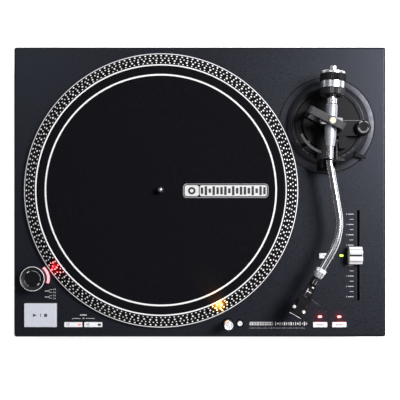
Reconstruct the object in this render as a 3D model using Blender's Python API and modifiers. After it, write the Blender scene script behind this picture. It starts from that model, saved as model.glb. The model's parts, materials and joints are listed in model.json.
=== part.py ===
"""Direct-drive turntable record player.

Metres, +Z up. The origin is under the middle of the plinth, on the surface that the feet stand on.
+X is to the right of a person at the controls and +Y is to the back.
"""
import math

import bmesh
import bpy
from mathutils import Matrix, Vector

# ---- driving dimensions -----------------------------------------------------------------------
GAP = 0.0003                      # clearance between pieces that rest on each other

PLINTH_WIDTH = 0.453
PLINTH_DEPTH = 0.353
DECK = 0.090                      # height of the top surface that carries the controls
DECK_THICKNESS = 0.006
SKIRT_BOTTOM = 0.068
SKIRT_WALL = 0.006
TRAY_INSET = 0.004
TRAY_BOTTOM = 0.024
TRAY_FLOOR = 0.006
TRAY_WALL = 0.008

PLATTER_CENTRE = Vector((-0.0468, 0.0015, 0.0))
PLATTER_RADIUS = 0.166
MAT_RADIUS = 0.1485
SPINDLE_RADIUS = 0.003575
SPINDLE_TIP = DECK + 0.029
BORE_RADIUS = SPINDLE_RADIUS + GAP
MOTOR_HOLE_RADIUS = 0.060
ROTOR_RADIUS = 0.057
STATOR_FLOOR = 0.0605

PIVOT = Vector((0.1543, 0.0808, 0.0))   # vertical axis of the tonearm
ARM_AXIS = DECK + 0.0382                # height of the tonearm's tilt axis
ARM_DIRECTION = math.radians(-92.5)     # where the straight part of the arm points at rest
OUTER_BEND = math.radians(-80.2)        # middle run of the S-shaped tube
HEAD_DIRECTION = math.radians(-120.0)   # offset angle of the headshell
TUBE_RADIUS = 0.0045
BARREL_RADIUS = 0.007
BARREL_FRONT = 0.029                    # ahead of the pivot
BARREL_REAR = 0.0208                    # behind the pivot
BEND_B = 0.0447                         # pivot to the first corner of the S
BEND_RUN = 0.0887                       # first corner to the second
FIRST_BEND_RADIUS = 0.060
SECOND_BEND_RADIUS = 0.070
COLLAR_FROM_C = 0.0531                  # second corner to the middle of the locking collar
LOCKING_LENGTH = 0.0115
HEAD_START = 0.0094                     # middle of the locking collar to the shell
HEADSHELL_LENGTH = 0.0485
STYLUS_REACH = 0.0460                   # start of the shell to the stylus tip

COLLAR_RADIUS = 0.058
COLLAR_BORE = 0.0433
HEIGHT_RING_BORE = 0.0393
ARM_BASE_RADIUS = 0.039
ARM_STEM_RADIUS = 0.036
ARM_DISC_TOP = DECK + 0.008
ARM_TABLE_TOP = DECK + 0.0126           # raised table that carries yoke, rest and cue block
ARM_TABLE_RADIUS = 0.030
TONGUE_TOP = DECK + 0.0122              # arm to the front that carries the rest

YOKE_ANGLE = math.radians(-26.7)
YOKE_WIDTH = 0.0087
YOKE_TOP = DECK + 0.052
YOKE_RIGHT = 0.016
YOKE_LEFT = 0.0304
GIMBAL_HALF_WIDTH = 0.0122
GIMBAL_HALF_HEIGHT = 0.0095
GIMBAL_LENGTH = 0.008

LIFTER_RADIUS = 0.0365
LIFTER_TOP = ARM_AXIS - TUBE_RADIUS - 0.0035
LIFTER_ANGLES = (math.radians(201), math.radians(256))
LIFTER_POST_ANGLE = math.radians(222)
LIFTER_POST_RADIUS = 0.0345             # from the pivot
LIFTER_POST = 0.0025
CUE_X = (0.1618, 0.1654)
CUE_HINGE = (0.0600, DECK + 0.018)      # y and height
CUE_REACH = 0.0266                      # hinge to the end of the grip
CLIP_HINGE = (0.1610, ARM_AXIS + 0.0003)    # x and height
CLIP_Y = 0.0350

STROBE_CENTRE = Vector((-0.2006, -0.105, 0.0))
STROBE_RADIUS = 0.0150
STROBE_TOP = DECK + 0.0105
KNOB_TOP = DECK + 0.019
WINDOW_RADIUS = 0.0189
WINDOW_ANGLES = (math.radians(-19), math.radians(49))

BUTTON_DEPTH = 0.010                    # how far a button's skirt reaches below the deck surface
BUTTON_PLAY = 0.0004
# name: (centre x, centre y, width, depth, height over the deck)
BUTTONS = {
    "start_button": (-0.1936, -0.1498, 0.0395, 0.0290, 0.0035),
    "button_33": (-0.1538, -0.1613, 0.0218, 0.0060, 0.0025),
    "button_45": (-0.1296, -0.1613, 0.0218, 0.0060, 0.0025),
    "reverse_button": (0.1460, -0.1614, 0.0174, 0.0063, 0.0025),
    "range_button": (0.1694, -0.1614, 0.0174, 0.0063, 0.0025),
    "reset_button": (0.1535, -0.0777, 0.0174, 0.0063, 0.0025),
}
LAMP_CENTRE = Vector((0.0343, -0.1600, 0.0))
LAMP_RADIUS = 0.00535
LAMP_TOP = DECK + 0.029
LAMP_LENGTH = 0.050
LAMP_TRAVEL = 0.022                     # how far the lamp is pushed down to switch it off
LAMP_FACING = math.radians(112)         # direction its window faces, across the platter's rim
LAMP_BUTTON_CENTRE = Vector((0.0487, -0.1600, 0.0))
LAMP_BUTTON_RADIUS = 0.0031

FADER_X = 0.1929
FADER_Y = -0.0772
FADER_SLOT = (0.0034, 0.1107)
FADER_CAP_X = 0.1878
FADER_CAP = (0.0175, 0.0212)
FADER_CAP_TOP = DECK + 0.017

ANTISKATE_CENTRE = Vector((0.1950, 0.0755, 0.0))
ANTISKATE_WIDTH = 0.0190
ANTISKATE_TOP = DECK + 0.018
ANTISKATE_KNOB_TOP = DECK + 0.025

FOOT_X = 0.180
FOOT_Y = 0.130
FOOT_RADIUS = 0.029
FOOT_TOP = 0.0200
STUD_RADIUS = 0.005
STUD_TOP = 0.042

PANEL_X = (0.025, 0.175)                # rear connector panel
PANEL_Z = (0.033, 0.063)
INLET_X = 0.145
JACK_X = (0.052, 0.070)
GROUND_X = 0.095
CONNECTOR_Z = 0.048

# ---- finishes: colour, roughness, metallic ----------------------------------------------------
DECK_PAINT = ((0.030, 0.031, 0.034), 0.45, 0.2)
RUBBER_BLACK = ((0.018, 0.018, 0.019), 0.80, 0.0)
PLASTIC_BLACK = ((0.022, 0.022, 0.024), 0.50, 0.0)
FELT = ((0.030, 0.031, 0.035), 0.95, 0.0)
ALUMINIUM = ((0.62, 0.63, 0.65), 0.30, 1.0)
CAST_ALUMINIUM = ((0.40, 0.41, 0.43), 0.45, 1.0)
STEEL = ((0.55, 0.56, 0.58), 0.25, 1.0)
BRASS = ((0.72, 0.55, 0.26), 0.35, 1.0)
DARK_METAL = ((0.055, 0.056, 0.060), 0.35, 0.7)
BUTTON_GREY = ((0.60, 0.63, 0.66), 0.40, 0.1)
WHITE_PLASTIC = ((0.78, 0.79, 0.80), 0.35, 0.0)
RED_WINDOW = ((0.45, 0.02, 0.015), 0.15, 0.0)
BOARD_GREEN = ((0.03, 0.16, 0.07), 0.50, 0.0)
COPPER = ((0.60, 0.28, 0.14), 0.40, 1.0)
FERRITE = ((0.06, 0.06, 0.06), 0.60, 0.2)

UP = Vector((0.0, 0.0, 1.0))


# ---- tools ------------------------------------------------------------------------------------
def clear_scene():
    for obj in list(bpy.data.objects):
        bpy.data.objects.remove(obj, do_unlink=True)


def new_collection(name):
    collection = bpy.data.collections.new(name)
    bpy.context.scene.collection.children.link(collection)
    return collection


clear_scene()
PARTS = new_collection("turntable_record_player")
CUTTERS = new_collection("cutters")


def heading(angle):
    """Unit vector in the plane of the deck."""
    return Vector((math.cos(angle), math.sin(angle), 0.0))


def place(origin, axis=UP):
    """World matrix of a piece whose own Z runs along the axis."""
    turn = axis.to_track_quat("Z", "Y").to_matrix().to_4x4()
    return Matrix.Translation(origin) @ turn


def upright(origin, angle=0.0):
    """World matrix of a standing piece turned about the vertical."""
    return Matrix.Translation(origin) @ Matrix.Rotation(angle, 4, "Z")


def give_finish(obj, finish):
    colour, roughness, metallic = finish
    material = bpy.data.materials.new(obj.name)
    material.use_nodes = True
    shader = material.node_tree.nodes["Principled BSDF"]
    shader.inputs["Base Color"].default_value = (*colour, 1.0)
    shader.inputs["Roughness"].default_value = roughness
    shader.inputs["Metallic"].default_value = metallic
    obj.data.materials.append(material)


def add(name, data, matrix, finish):
    """Link a piece, or a cutter where it has no finish."""
    obj = bpy.data.objects.new(name, data)
    obj.matrix_world = matrix
    if finish is None:
        CUTTERS.objects.link(obj)
        obj.hide_render = True
        obj.display_type = "WIRE"
    else:
        PARTS.objects.link(obj)
        give_finish(obj, finish)
    return obj


def bevel(obj, width, segments=2, angle=40):
    modifier = obj.modifiers.new("Bevel", "BEVEL")
    modifier.width = width
    modifier.segments = segments
    modifier.limit_method = "ANGLE"
    modifier.angle_limit = math.radians(angle)
    return obj


def block(name, low, high, finish=None, matrix=Matrix(), edge=0.0, segments=2):
    """A box between two corners, given in the frame of the matrix."""
    low, high = Vector(low), Vector(high)
    mesh = bpy.data.meshes.new(name)
    shape = bmesh.new()
    bmesh.ops.create_cube(shape, size=1.0, matrix=Matrix.Diagonal((*(high - low), 1.0)))
    shape.to_mesh(mesh)
    shape.free()
    obj = add(name, mesh, matrix @ Matrix.Translation((low + high) / 2), finish)
    if edge:
        bevel(obj, edge, segments)
    return obj


def rod(name, radius, low, high, finish=None, matrix=Matrix(), sides=20):
    """A cylinder along Z of the matrix, between two heights."""
    mesh = bpy.data.meshes.new(name)
    shape = bmesh.new()
    bmesh.ops.create_cone(shape, cap_ends=True, segments=sides, radius1=radius, radius2=radius,
                          depth=high - low, matrix=Matrix.Translation((0, 0, (low + high) / 2)))
    shape.to_mesh(mesh)
    shape.free()
    mesh.shade_smooth()
    mesh.set_sharp_from_angle(angle=math.radians(35))
    return add(name, mesh, matrix, finish)


def rods(name, radius, low, high, centres, sides=24):
    """A cutter of several equal cylinders that stand on the deck's plane."""
    mesh = bpy.data.meshes.new(name)
    shape = bmesh.new()
    for centre in centres:
        middle = Vector((centre[0], centre[1], (low + high) / 2))
        bmesh.ops.create_cone(shape, cap_ends=True, segments=sides, radius1=radius, radius2=radius,
                              depth=high - low, matrix=Matrix.Translation(middle))
    shape.to_mesh(mesh)
    shape.free()
    return add(name, mesh, Matrix(), None)


def turned(name, profile, steps, finish=None, matrix=Matrix(), ring=False):
    """Turn (radius, height) points about Z. They run down the outer side; a ring's profile closes."""
    mesh = bpy.data.meshes.new(name)
    edges = [(i, i + 1) for i in range(len(profile) - 1)]
    if ring:
        edges.append((len(profile) - 1, 0))
    mesh.from_pydata([(radius, 0.0, height) for radius, height in profile], edges, [])
    obj = add(name, mesh, matrix, finish)
    screw = obj.modifiers.new("Turn", "SCREW")
    screw.axis = "Z"
    screw.angle = math.tau
    screw.steps = steps
    screw.render_steps = steps
    screw.use_merge_vertices = True
    screw.merge_threshold = 0.00001
    screw.use_smooth_shade = True
    return obj


def plate(name, outline, low, high, finish=None, matrix=Matrix()):
    """A flat outline with thickness, as a closed mesh."""
    curve = bpy.data.curves.new(name, "CURVE")
    curve.dimensions = "2D"
    curve.fill_mode = "BOTH"
    curve.extrude = (high - low) / 2
    spline = curve.splines.new("POLY")
    spline.points.add(len(outline) - 1)
    for point, (x, y) in zip(spline.points, outline):
        point.co = (x, y, 0.0, 1.0)
    spline.use_cyclic_u = True
    middle = matrix @ Matrix.Translation((0, 0, (low + high) / 2))
    return to_mesh(name, curve, middle, finish)


def tube(name, points, radius, finish=None, origin=Vector(), roundness=3):
    """A round bar along points, given in the frame of the origin."""
    curve = bpy.data.curves.new(name, "CURVE")
    curve.dimensions = "3D"
    curve.bevel_depth = radius
    curve.bevel_resolution = roundness
    curve.use_fill_caps = True
    spline = curve.splines.new("POLY")
    spline.points.add(len(points) - 1)
    for point, position in zip(spline.points, points):
        point.co = (*position, 1.0)
    return to_mesh(name, curve, Matrix.Translation(origin), finish)


def to_mesh(name, curve, matrix, finish):
    """Turn a curve into a mesh with its caps welded on."""
    guide = bpy.data.objects.new(name + "_curve", curve)
    CUTTERS.objects.link(guide)
    graph = bpy.context.evaluated_depsgraph_get()
    mesh = bpy.data.meshes.new_from_object(guide.evaluated_get(graph))
    bpy.data.objects.remove(guide, do_unlink=True)
    shape = bmesh.new()
    shape.from_mesh(mesh)
    bmesh.ops.remove_doubles(shape, verts=shape.verts, dist=0.00001)
    bmesh.ops.recalc_face_normals(shape, faces=shape.faces)
    shape.to_mesh(mesh)
    shape.free()
    mesh.materials.clear()
    mesh.shade_smooth()
    mesh.set_sharp_from_angle(angle=math.radians(40))
    return add(name, mesh, matrix, finish)


def cut(obj, cutter):
    modifier = obj.modifiers.new("Cut", "BOOLEAN")
    modifier.operation = "DIFFERENCE"
    modifier.object = cutter
    return obj


def join(obj, other):
    modifier = obj.modifiers.new("Join", "BOOLEAN")
    modifier.operation = "UNION"
    modifier.object = other
    return obj


def arc(centre, radius, start, end, count):
    """Points on an arc, both ends included."""
    step = (end - start) / (count - 1)
    return [(centre[0] + radius * math.cos(start + step * i),
             centre[1] + radius * math.sin(start + step * i)) for i in range(count)]


# ---- plinth -----------------------------------------------------------------------------------
def make_top_plate():
    half_x, half_y = PLINTH_WIDTH / 2, PLINTH_DEPTH / 2
    body = block("top_plate", (-half_x, -half_y, SKIRT_BOTTOM), (half_x, half_y, DECK), DECK_PAINT,
                 edge=0.003, segments=3)
    inner_x, inner_y = half_x - SKIRT_WALL, half_y - SKIRT_WALL
    cut(body, block("deck_underside", (-inner_x, -inner_y, SKIRT_BOTTOM - 0.01),
                    (inner_x, inner_y, DECK - DECK_THICKNESS)))
    low, high = DECK - 0.02, DECK + 0.02
    cut(body, rods("motor_hole", MOTOR_HOLE_RADIUS, low, high, [PLATTER_CENTRE], sides=40))
    cut(body, rods("arm_hole", ARM_STEM_RADIUS + 0.0004, low, high, [PIVOT], sides=32))
    cut(body, rods("tower_hole", 0.0107, low, high, [STROBE_CENTRE]))
    cut(body, rods("lamp_hole", LAMP_RADIUS + GAP, low, high, [LAMP_CENTRE]))
    cut(body, rods("lamp_button_hole", LAMP_BUTTON_RADIUS + GAP, low, high, [LAMP_BUTTON_CENTRE]))
    for name, (x, y, width, depth, _) in BUTTONS.items():
        reach_x, reach_y = width / 2 + BUTTON_PLAY, depth / 2 + BUTTON_PLAY
        cut(body, block(name + "_hole", (x - reach_x, y - reach_y, low), (x + reach_x, y + reach_y, high)))
    slot_x, slot_y = FADER_SLOT[0] / 2, FADER_SLOT[1] / 2
    cut(body, block("fader_slot", (FADER_X - slot_x, FADER_Y - slot_y, low),
                    (FADER_X + slot_x, FADER_Y + slot_y, high)))


def make_base_tray():
    half_x, half_y = PLINTH_WIDTH / 2 - TRAY_INSET, PLINTH_DEPTH / 2 - TRAY_INSET
    top = SKIRT_BOTTOM - GAP
    body = block("base_tray", (-half_x, -half_y, TRAY_BOTTOM), (half_x, half_y, top), RUBBER_BLACK,
                 edge=0.003)
    inner_x, inner_y = half_x - TRAY_WALL, half_y - TRAY_WALL
    cut(body, block("tray_hollow", (-inner_x, -inner_y, TRAY_BOTTOM + TRAY_FLOOR),
                    (inner_x, inner_y, top + 0.01)))
    feet = [(x, y) for x in (-FOOT_X, FOOT_X) for y in (-FOOT_Y, FOOT_Y)]
    cut(body, rods("stud_holes", STUD_RADIUS + GAP, TRAY_BOTTOM - 0.01, TRAY_BOTTOM + 0.02, feet))
    lamp_floor = LAMP_TOP - LAMP_LENGTH - LAMP_TRAVEL - 0.001
    cut(body, rods("lamp_room", LAMP_RADIUS + 0.0008, lamp_floor, top + 0.01, [LAMP_CENTRE]))
    cut(body, block("connector_window", (PANEL_X[0] + 0.006, inner_y - 0.004, PANEL_Z[0] + 0.003),
                    (PANEL_X[1] - 0.006, half_y + 0.01, PANEL_Z[1] - 0.003)))


def make_rear_connectors():
    wall = PLINTH_DEPTH / 2 - TRAY_INSET - TRAY_WALL       # inner face of the tray's rear wall
    back, front = wall - GAP, wall - GAP - 0.002           # faces of the panel
    panel = block("rear_panel", (PANEL_X[0], front, PANEL_Z[0]), (PANEL_X[1], back, PANEL_Z[1]), DARK_METAL)
    out = Matrix.Rotation(-math.pi / 2, 4, "X")            # own +Z points to the back

    def behind(x, y):
        return Matrix.Translation((x, y, CONNECTOR_Z)) @ out

    middle_x = sum(JACK_X) / 2
    jacks = block("rca_sockets", (middle_x - 0.019, back + GAP, CONNECTOR_Z - 0.008),
                  (middle_x + 0.019, back + GAP + 0.0015, CONNECTOR_Z + 0.008), PLASTIC_BLACK)
    for index, x in enumerate(JACK_X):
        join(jacks, rod(f"jack_barrel_{index}", 0.0042, -0.010, 0.0072, None, behind(x, back)))
        cut(jacks, rod(f"jack_bore_{index}", 0.0016, -0.002, 0.02, None, behind(x, back), sides=16))
        cut(panel, rod(f"jack_pass_{index}", 0.0042 + GAP, -0.02, 0.02, None, behind(x, back)))

    half_w, half_h = 0.014, 0.010
    inlet = block("power_inlet", (INLET_X - 0.017, back + GAP, CONNECTOR_Z - 0.012),
                  (INLET_X + 0.017, back + GAP + 0.002, CONNECTOR_Z + 0.012), PLASTIC_BLACK)
    join(inlet, block("inlet_body", (INLET_X - half_w, back - 0.018, CONNECTOR_Z - half_h),
                      (INLET_X + half_w, back + 0.001, CONNECTOR_Z + half_h)))
    cut(inlet, block("inlet_cavity", (INLET_X - 0.0115, back - 0.012, CONNECTOR_Z - 0.0075),
                     (INLET_X + 0.0115, back + 0.01, CONNECTOR_Z + 0.0075)))
    for index, (shift_x, shift_z) in enumerate(((-0.007, 0.002), (0.007, 0.002), (0.0, -0.002))):
        x, z = INLET_X + shift_x, CONNECTOR_Z + shift_z
        join(inlet, block(f"inlet_pin_{index}", (x - 0.001, back - 0.013, z - 0.002),
                          (x + 0.001, back - 0.001, z + 0.002)))
    cut(panel, block("inlet_pass", (INLET_X - half_w - GAP, front - 0.01, CONNECTOR_Z - half_h - GAP),
                     (INLET_X + half_w + GAP, back + 0.01, CONNECTOR_Z + half_h + GAP)))

    turned("ground_post", [(0, 0.0078), (0.002, 0.0078), (0.002, 0.002), (0.0045, 0.002),
                           (0.0045, GAP), (0.0028, GAP), (0.0028, -0.010), (0, -0.010)],
           16, STEEL, behind(GROUND_X, back))
    cut(panel, rod("ground_pass", 0.0028 + GAP, -0.02, 0.02, None, behind(GROUND_X, back), sides=16))
    turned("ground_nut", [(0.0023, 0.0070), (0.0046, 0.0070), (0.0050, 0.0066), (0.0050, 0.0029),
                          (0.0046, 0.0025), (0.0023, 0.0025)], 16, BRASS, behind(GROUND_X, back), ring=True)


def make_insides():
    block("bottom_plate", (-0.145, -0.120, TRAY_BOTTOM - GAP - 0.002), (0.145, 0.120, TRAY_BOTTOM - GAP),
          STEEL)
    floor = TRAY_BOTTOM + TRAY_FLOOR + GAP
    core = block("transformer", (-0.165, 0.085, floor), (-0.111, 0.131, floor + 0.032), DARK_METAL)
    join(core, block("coil", (-0.156, 0.078, floor + 0.005), (-0.120, 0.138, floor + 0.027)))
    board_low, board_high = floor + 0.012, floor + 0.0136
    board = block("control_board", (-0.120, -0.158, board_low), (0.030, -0.075, board_high), BOARD_GREEN)
    join(board, rods("standoffs", 0.003, floor, board_low + 0.0005,
                     [(x, y) for x in (-0.112, 0.022) for y in (-0.150, -0.083)], sides=12))
    join(board, rods("capacitors", 0.006, board_high - 0.0005, board_high + 0.014,
                     [(-0.100, -0.100), (-0.084, -0.100), (-0.068, -0.100)], sides=16))
    join(board, block("processor", (-0.045, -0.125, board_high - 0.0005),
                      (-0.017, -0.105, board_high + 0.003)))
    join(board, block("power_stage", (-0.010, -0.150, board_high - 0.0005),
                      (0.016, -0.144, board_high + 0.012)))


def make_motor():
    rim_top = DECK - DECK_THICKNESS - GAP
    floor_low, bore_floor, hub_top = STATOR_FLOOR - 0.003, 0.0415, 0.0820
    turned("bearing_housing", [
        (0, bore_floor), (BORE_RADIUS, bore_floor), (BORE_RADIUS, hub_top), (0.0105, hub_top),
        (0.0105, STATOR_FLOOR), (0.0625, STATOR_FLOOR), (0.0625, rim_top), (0.0660, rim_top),
        (0.0660, floor_low), (0.0125, floor_low), (0.0105, floor_low - 0.002), (0.0105, 0.0380),
        (0, 0.0380)],
        32, CAST_ALUMINIUM, upright(PLATTER_CENTRE))
    stator = turned("motor_stator", [
        (0.0110, 0.0660), (0.0600, 0.0660), (0.0600, STATOR_FLOOR + GAP), (0.0110, STATOR_FLOOR + GAP)],
        32, COPPER, upright(PLATTER_CENTRE), ring=True)
    coils = 9
    circle = [PLATTER_CENTRE + 0.040 * heading(math.tau * index / coils) for index in range(coils)]
    join(stator, rods("coils", 0.0115, 0.0655, 0.0775, circle, sides=10))


def make_platter_parts():
    rim, line, bevel_top = DECK + 0.004, DECK + 0.0065, DECK + 0.015
    seat = DECK + 0.014
    turned("platter", [
        (BORE_RADIUS, seat), (0.1497, seat), (0.1500, seat + 0.0016), (0.1518, seat + 0.0016),
        (0.1520, bevel_top), (0.1640, line + 0.0006), (0.1644, line), (PLATTER_RADIUS, line),
        (PLATTER_RADIUS, rim), (0.1595, rim), (0.1580, DECK + 0.010), (0.0640, DECK + 0.0095),
        (0.0600, DECK + 0.0025), (BORE_RADIUS, DECK + 0.0025)], 56, ALUMINIUM,
        upright(PLATTER_CENTRE), ring=True)
    turned("slipmat", [(BORE_RADIUS, seat + 0.002), (MAT_RADIUS, seat + 0.002), (MAT_RADIUS, seat + GAP),
                       (BORE_RADIUS, seat + GAP)], 56, FELT, upright(PLATTER_CENTRE), ring=True)
    magnet_top = DECK + 0.0025 - GAP
    turned("rotor_magnet", [(0.020, magnet_top), (ROTOR_RADIUS, magnet_top), (ROTOR_RADIUS, 0.0805),
                            (0.020, 0.0805)], 32, FERRITE, upright(PLATTER_CENTRE), ring=True)
    turned("spindle", [(0, SPINDLE_TIP), (0.0016, SPINDLE_TIP - 0.0004), (0.0029, SPINDLE_TIP - 0.0018),
                       (SPINDLE_RADIUS, SPINDLE_TIP - 0.0045), (SPINDLE_RADIUS, magnet_top),
                       (0.0180, magnet_top), (0.0180, magnet_top - 0.004),
                       (SPINDLE_RADIUS, magnet_top - 0.006),
                       (SPINDLE_RADIUS, 0.0420), (0, 0.0420)], 16, STEEL, upright(PLATTER_CENTRE))


# ---- controls on the left and at the front ----------------------------------------------------
def make_strobe():
    turned("strobe_tower", [
        (0, STROBE_TOP - 0.006), (0.0045, STROBE_TOP - 0.006), (0.0045, STROBE_TOP),
        (STROBE_RADIUS, STROBE_TOP), (STROBE_RADIUS, DECK + GAP), (0.0104, DECK + GAP),
        (0.0104, DECK - 0.012), (0, DECK - 0.012)], 28, PLASTIC_BLACK, upright(STROBE_CENTRE))
    inner = STROBE_RADIUS + GAP
    start, end = WINDOW_ANGLES
    outline = (arc((0, 0), WINDOW_RADIUS, start, end, 7) + arc((0, 0), inner, end, start, 7))
    plate("strobe_window", outline, DECK + GAP, DECK + 0.0085, RED_WINDOW, upright(STROBE_CENTRE))
    foot = STROBE_TOP + GAP
    turned("power_knob", [
        (0, KNOB_TOP - 0.0008), (0.0126, KNOB_TOP - 0.0008), (0.0130, KNOB_TOP), (0.0142, KNOB_TOP),
        (STROBE_RADIUS, KNOB_TOP - 0.0012), (STROBE_RADIUS, foot), (0.0042, foot), (0.0042, foot - 0.005),
        (0, foot - 0.005)], 28, DARK_METAL, upright(STROBE_CENTRE))


def make_buttons():
    for name, (x, y, width, depth, height) in BUTTONS.items():
        block(name, (-width / 2, -depth / 2, DECK - BUTTON_DEPTH), (width / 2, depth / 2, DECK + height),
              BUTTON_GREY, upright((x, y, 0.0)), edge=0.0008)


def make_lamp():
    low = LAMP_TOP - LAMP_LENGTH
    lamp = turned("target_lamp", [
        (0, LAMP_TOP), (LAMP_RADIUS - 0.001, LAMP_TOP), (LAMP_RADIUS, LAMP_TOP - 0.001),
        (LAMP_RADIUS, low), (0, low)], 20, DARK_METAL, upright(LAMP_CENTRE))
    cut(lamp, block("lamp_window", (-0.0028, 0.0030, LAMP_TOP - 0.0115), (0.0028, 0.010, LAMP_TOP - 0.0035),
                    matrix=upright(LAMP_CENTRE, LAMP_FACING - math.pi / 2)))
    turned("lamp_button", [(0, DECK + 0.0026), (0.0024, DECK + 0.0026), (LAMP_BUTTON_RADIUS, DECK + 0.0020),
                           (LAMP_BUTTON_RADIUS, DECK - 0.012), (0, DECK - 0.012)], 16, DARK_METAL,
           upright(LAMP_BUTTON_CENTRE))


def make_fader():
    top = DECK - DECK_THICKNESS - GAP
    slot_x, slot_y = FADER_SLOT[0] / 2, FADER_SLOT[1] / 2
    body = block("fader_body", (FADER_X - 0.009, FADER_Y - 0.062, top - 0.014),
                 (FADER_X + 0.009, FADER_Y + 0.062, top), STEEL)
    cut(body, block("track", (FADER_X - slot_x, FADER_Y - slot_y, top - 0.011),
                    (FADER_X + slot_x, FADER_Y + slot_y, top + 0.01)))
    half_x, half_y = FADER_CAP[0] / 2, FADER_CAP[1] / 2
    stem_x = FADER_X - FADER_CAP_X
    matrix = upright((FADER_CAP_X, FADER_Y, 0.0))
    low = DECK + 0.0012
    profile = [(-half_y, low), (half_y, low), (half_y, low + 0.010), (half_y * 0.55, FADER_CAP_TOP),
               (0.0016, FADER_CAP_TOP - 0.0022), (-0.0016, FADER_CAP_TOP - 0.0022),
               (-half_y * 0.55, FADER_CAP_TOP), (-half_y, low + 0.010)]
    side = matrix @ Matrix.Rotation(math.pi / 2, 4, "Z") @ Matrix.Rotation(math.pi / 2, 4, "X")
    cap = plate("fader_knob", profile, -half_x, half_x, WHITE_PLASTIC, side)
    bevel(cap, 0.0006, 1)
    join(cap, block("fader_stem", (stem_x - 0.001, -0.003, top - 0.009),
                    (stem_x + 0.001, 0.003, low + 0.002), matrix=matrix))


# ---- feet -------------------------------------------------------------------------------------
def make_feet():
    for name, x, y in (("front_left", -FOOT_X, -FOOT_Y), ("front_right", FOOT_X, -FOOT_Y),
                       ("rear_left", -FOOT_X, FOOT_Y), ("rear_right", FOOT_X, FOOT_Y)):
        centre = upright((x, y, 0.0))
        turned("foot_" + name, [
            (0, 0.0095), (STUD_RADIUS + GAP, 0.0095), (STUD_RADIUS + GAP, FOOT_TOP), (0.0180, FOOT_TOP),
            (FOOT_RADIUS, FOOT_TOP - 0.005), (FOOT_RADIUS, 0.0015), (FOOT_RADIUS - 0.0015, 0.0), (0, 0.0)],
            24, RUBBER_BLACK, centre)
        turned("foot_stud_" + name, [(0, STUD_TOP), (STUD_RADIUS, STUD_TOP), (STUD_RADIUS, TRAY_BOTTOM - GAP),
                                     (0.0095, TRAY_BOTTOM - GAP), (0.0095, FOOT_TOP + GAP),
                                     (STUD_RADIUS, FOOT_TOP + GAP), (STUD_RADIUS, 0.0100), (0, 0.0100)],
               12, STEEL, centre)


# ---- tonearm base -----------------------------------------------------------------------------
def make_arm_base():
    pivot = upright(PIVOT)
    low = DECK + GAP
    collar = turned("arm_collar", [
        (COLLAR_BORE, DECK + 0.0090), (0.0450, DECK + 0.0080), (0.0475, DECK + 0.0054),
        (0.0500, DECK + 0.0031), (0.0540, DECK + 0.0018), (COLLAR_RADIUS, DECK + 0.0008),
        (COLLAR_RADIUS, low), (COLLAR_BORE, low)], 48, DECK_PAINT, pivot, ring=True)
    turned("height_ring", [
        (HEIGHT_RING_BORE, DECK + 0.0088), (COLLAR_BORE - GAP, DECK + 0.0088),
        (COLLAR_BORE - GAP, low), (HEIGHT_RING_BORE, low)], 40, DARK_METAL, pivot, ring=True)

    base = turned("arm_base", [
        (0, ARM_TABLE_TOP), (ARM_TABLE_RADIUS, ARM_TABLE_TOP), (ARM_TABLE_RADIUS, ARM_DISC_TOP),
        (ARM_BASE_RADIUS, ARM_DISC_TOP), (ARM_BASE_RADIUS, DECK + 0.0006),
        (ARM_STEM_RADIUS, DECK + 0.0006), (ARM_STEM_RADIUS, DECK - 0.014), (0, DECK - 0.014)],
        40, DECK_PAINT, pivot)
    join(base, block("tongue", (0.1410, 0.0240, DECK + 0.0096), (0.1645, 0.0620, TONGUE_TOP)))
    join(base, block("cue_block", (0.1658, 0.0510, ARM_DISC_TOP - 0.002), (0.1750, 0.0655, DECK + 0.022)))
    post = PIVOT + LIFTER_POST_RADIUS * heading(LIFTER_POST_ANGLE)
    cut(base, rods("lifter_guide", LIFTER_POST + GAP, DECK + 0.0028, DECK + 0.02, [post], sides=16))

    pin = PIVOT + 0.052 * heading(math.radians(-45))
    cut(collar, rods("lock_hole", 0.0018, DECK - 0.01, DECK + 0.02, [pin], sides=16))
    lock = plate("height_lock", [(-0.0038, -0.0034), (0.0100, -0.0014), (0.0100, 0.0014), (-0.0038, 0.0034)],
                 DECK + 0.0064, DECK + 0.0090, DARK_METAL, upright(pin, math.radians(-20)))
    join(lock, rod("lock_pin", 0.0015, DECK + 0.0008, DECK + 0.0070, None, upright(pin), sides=16))


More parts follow.
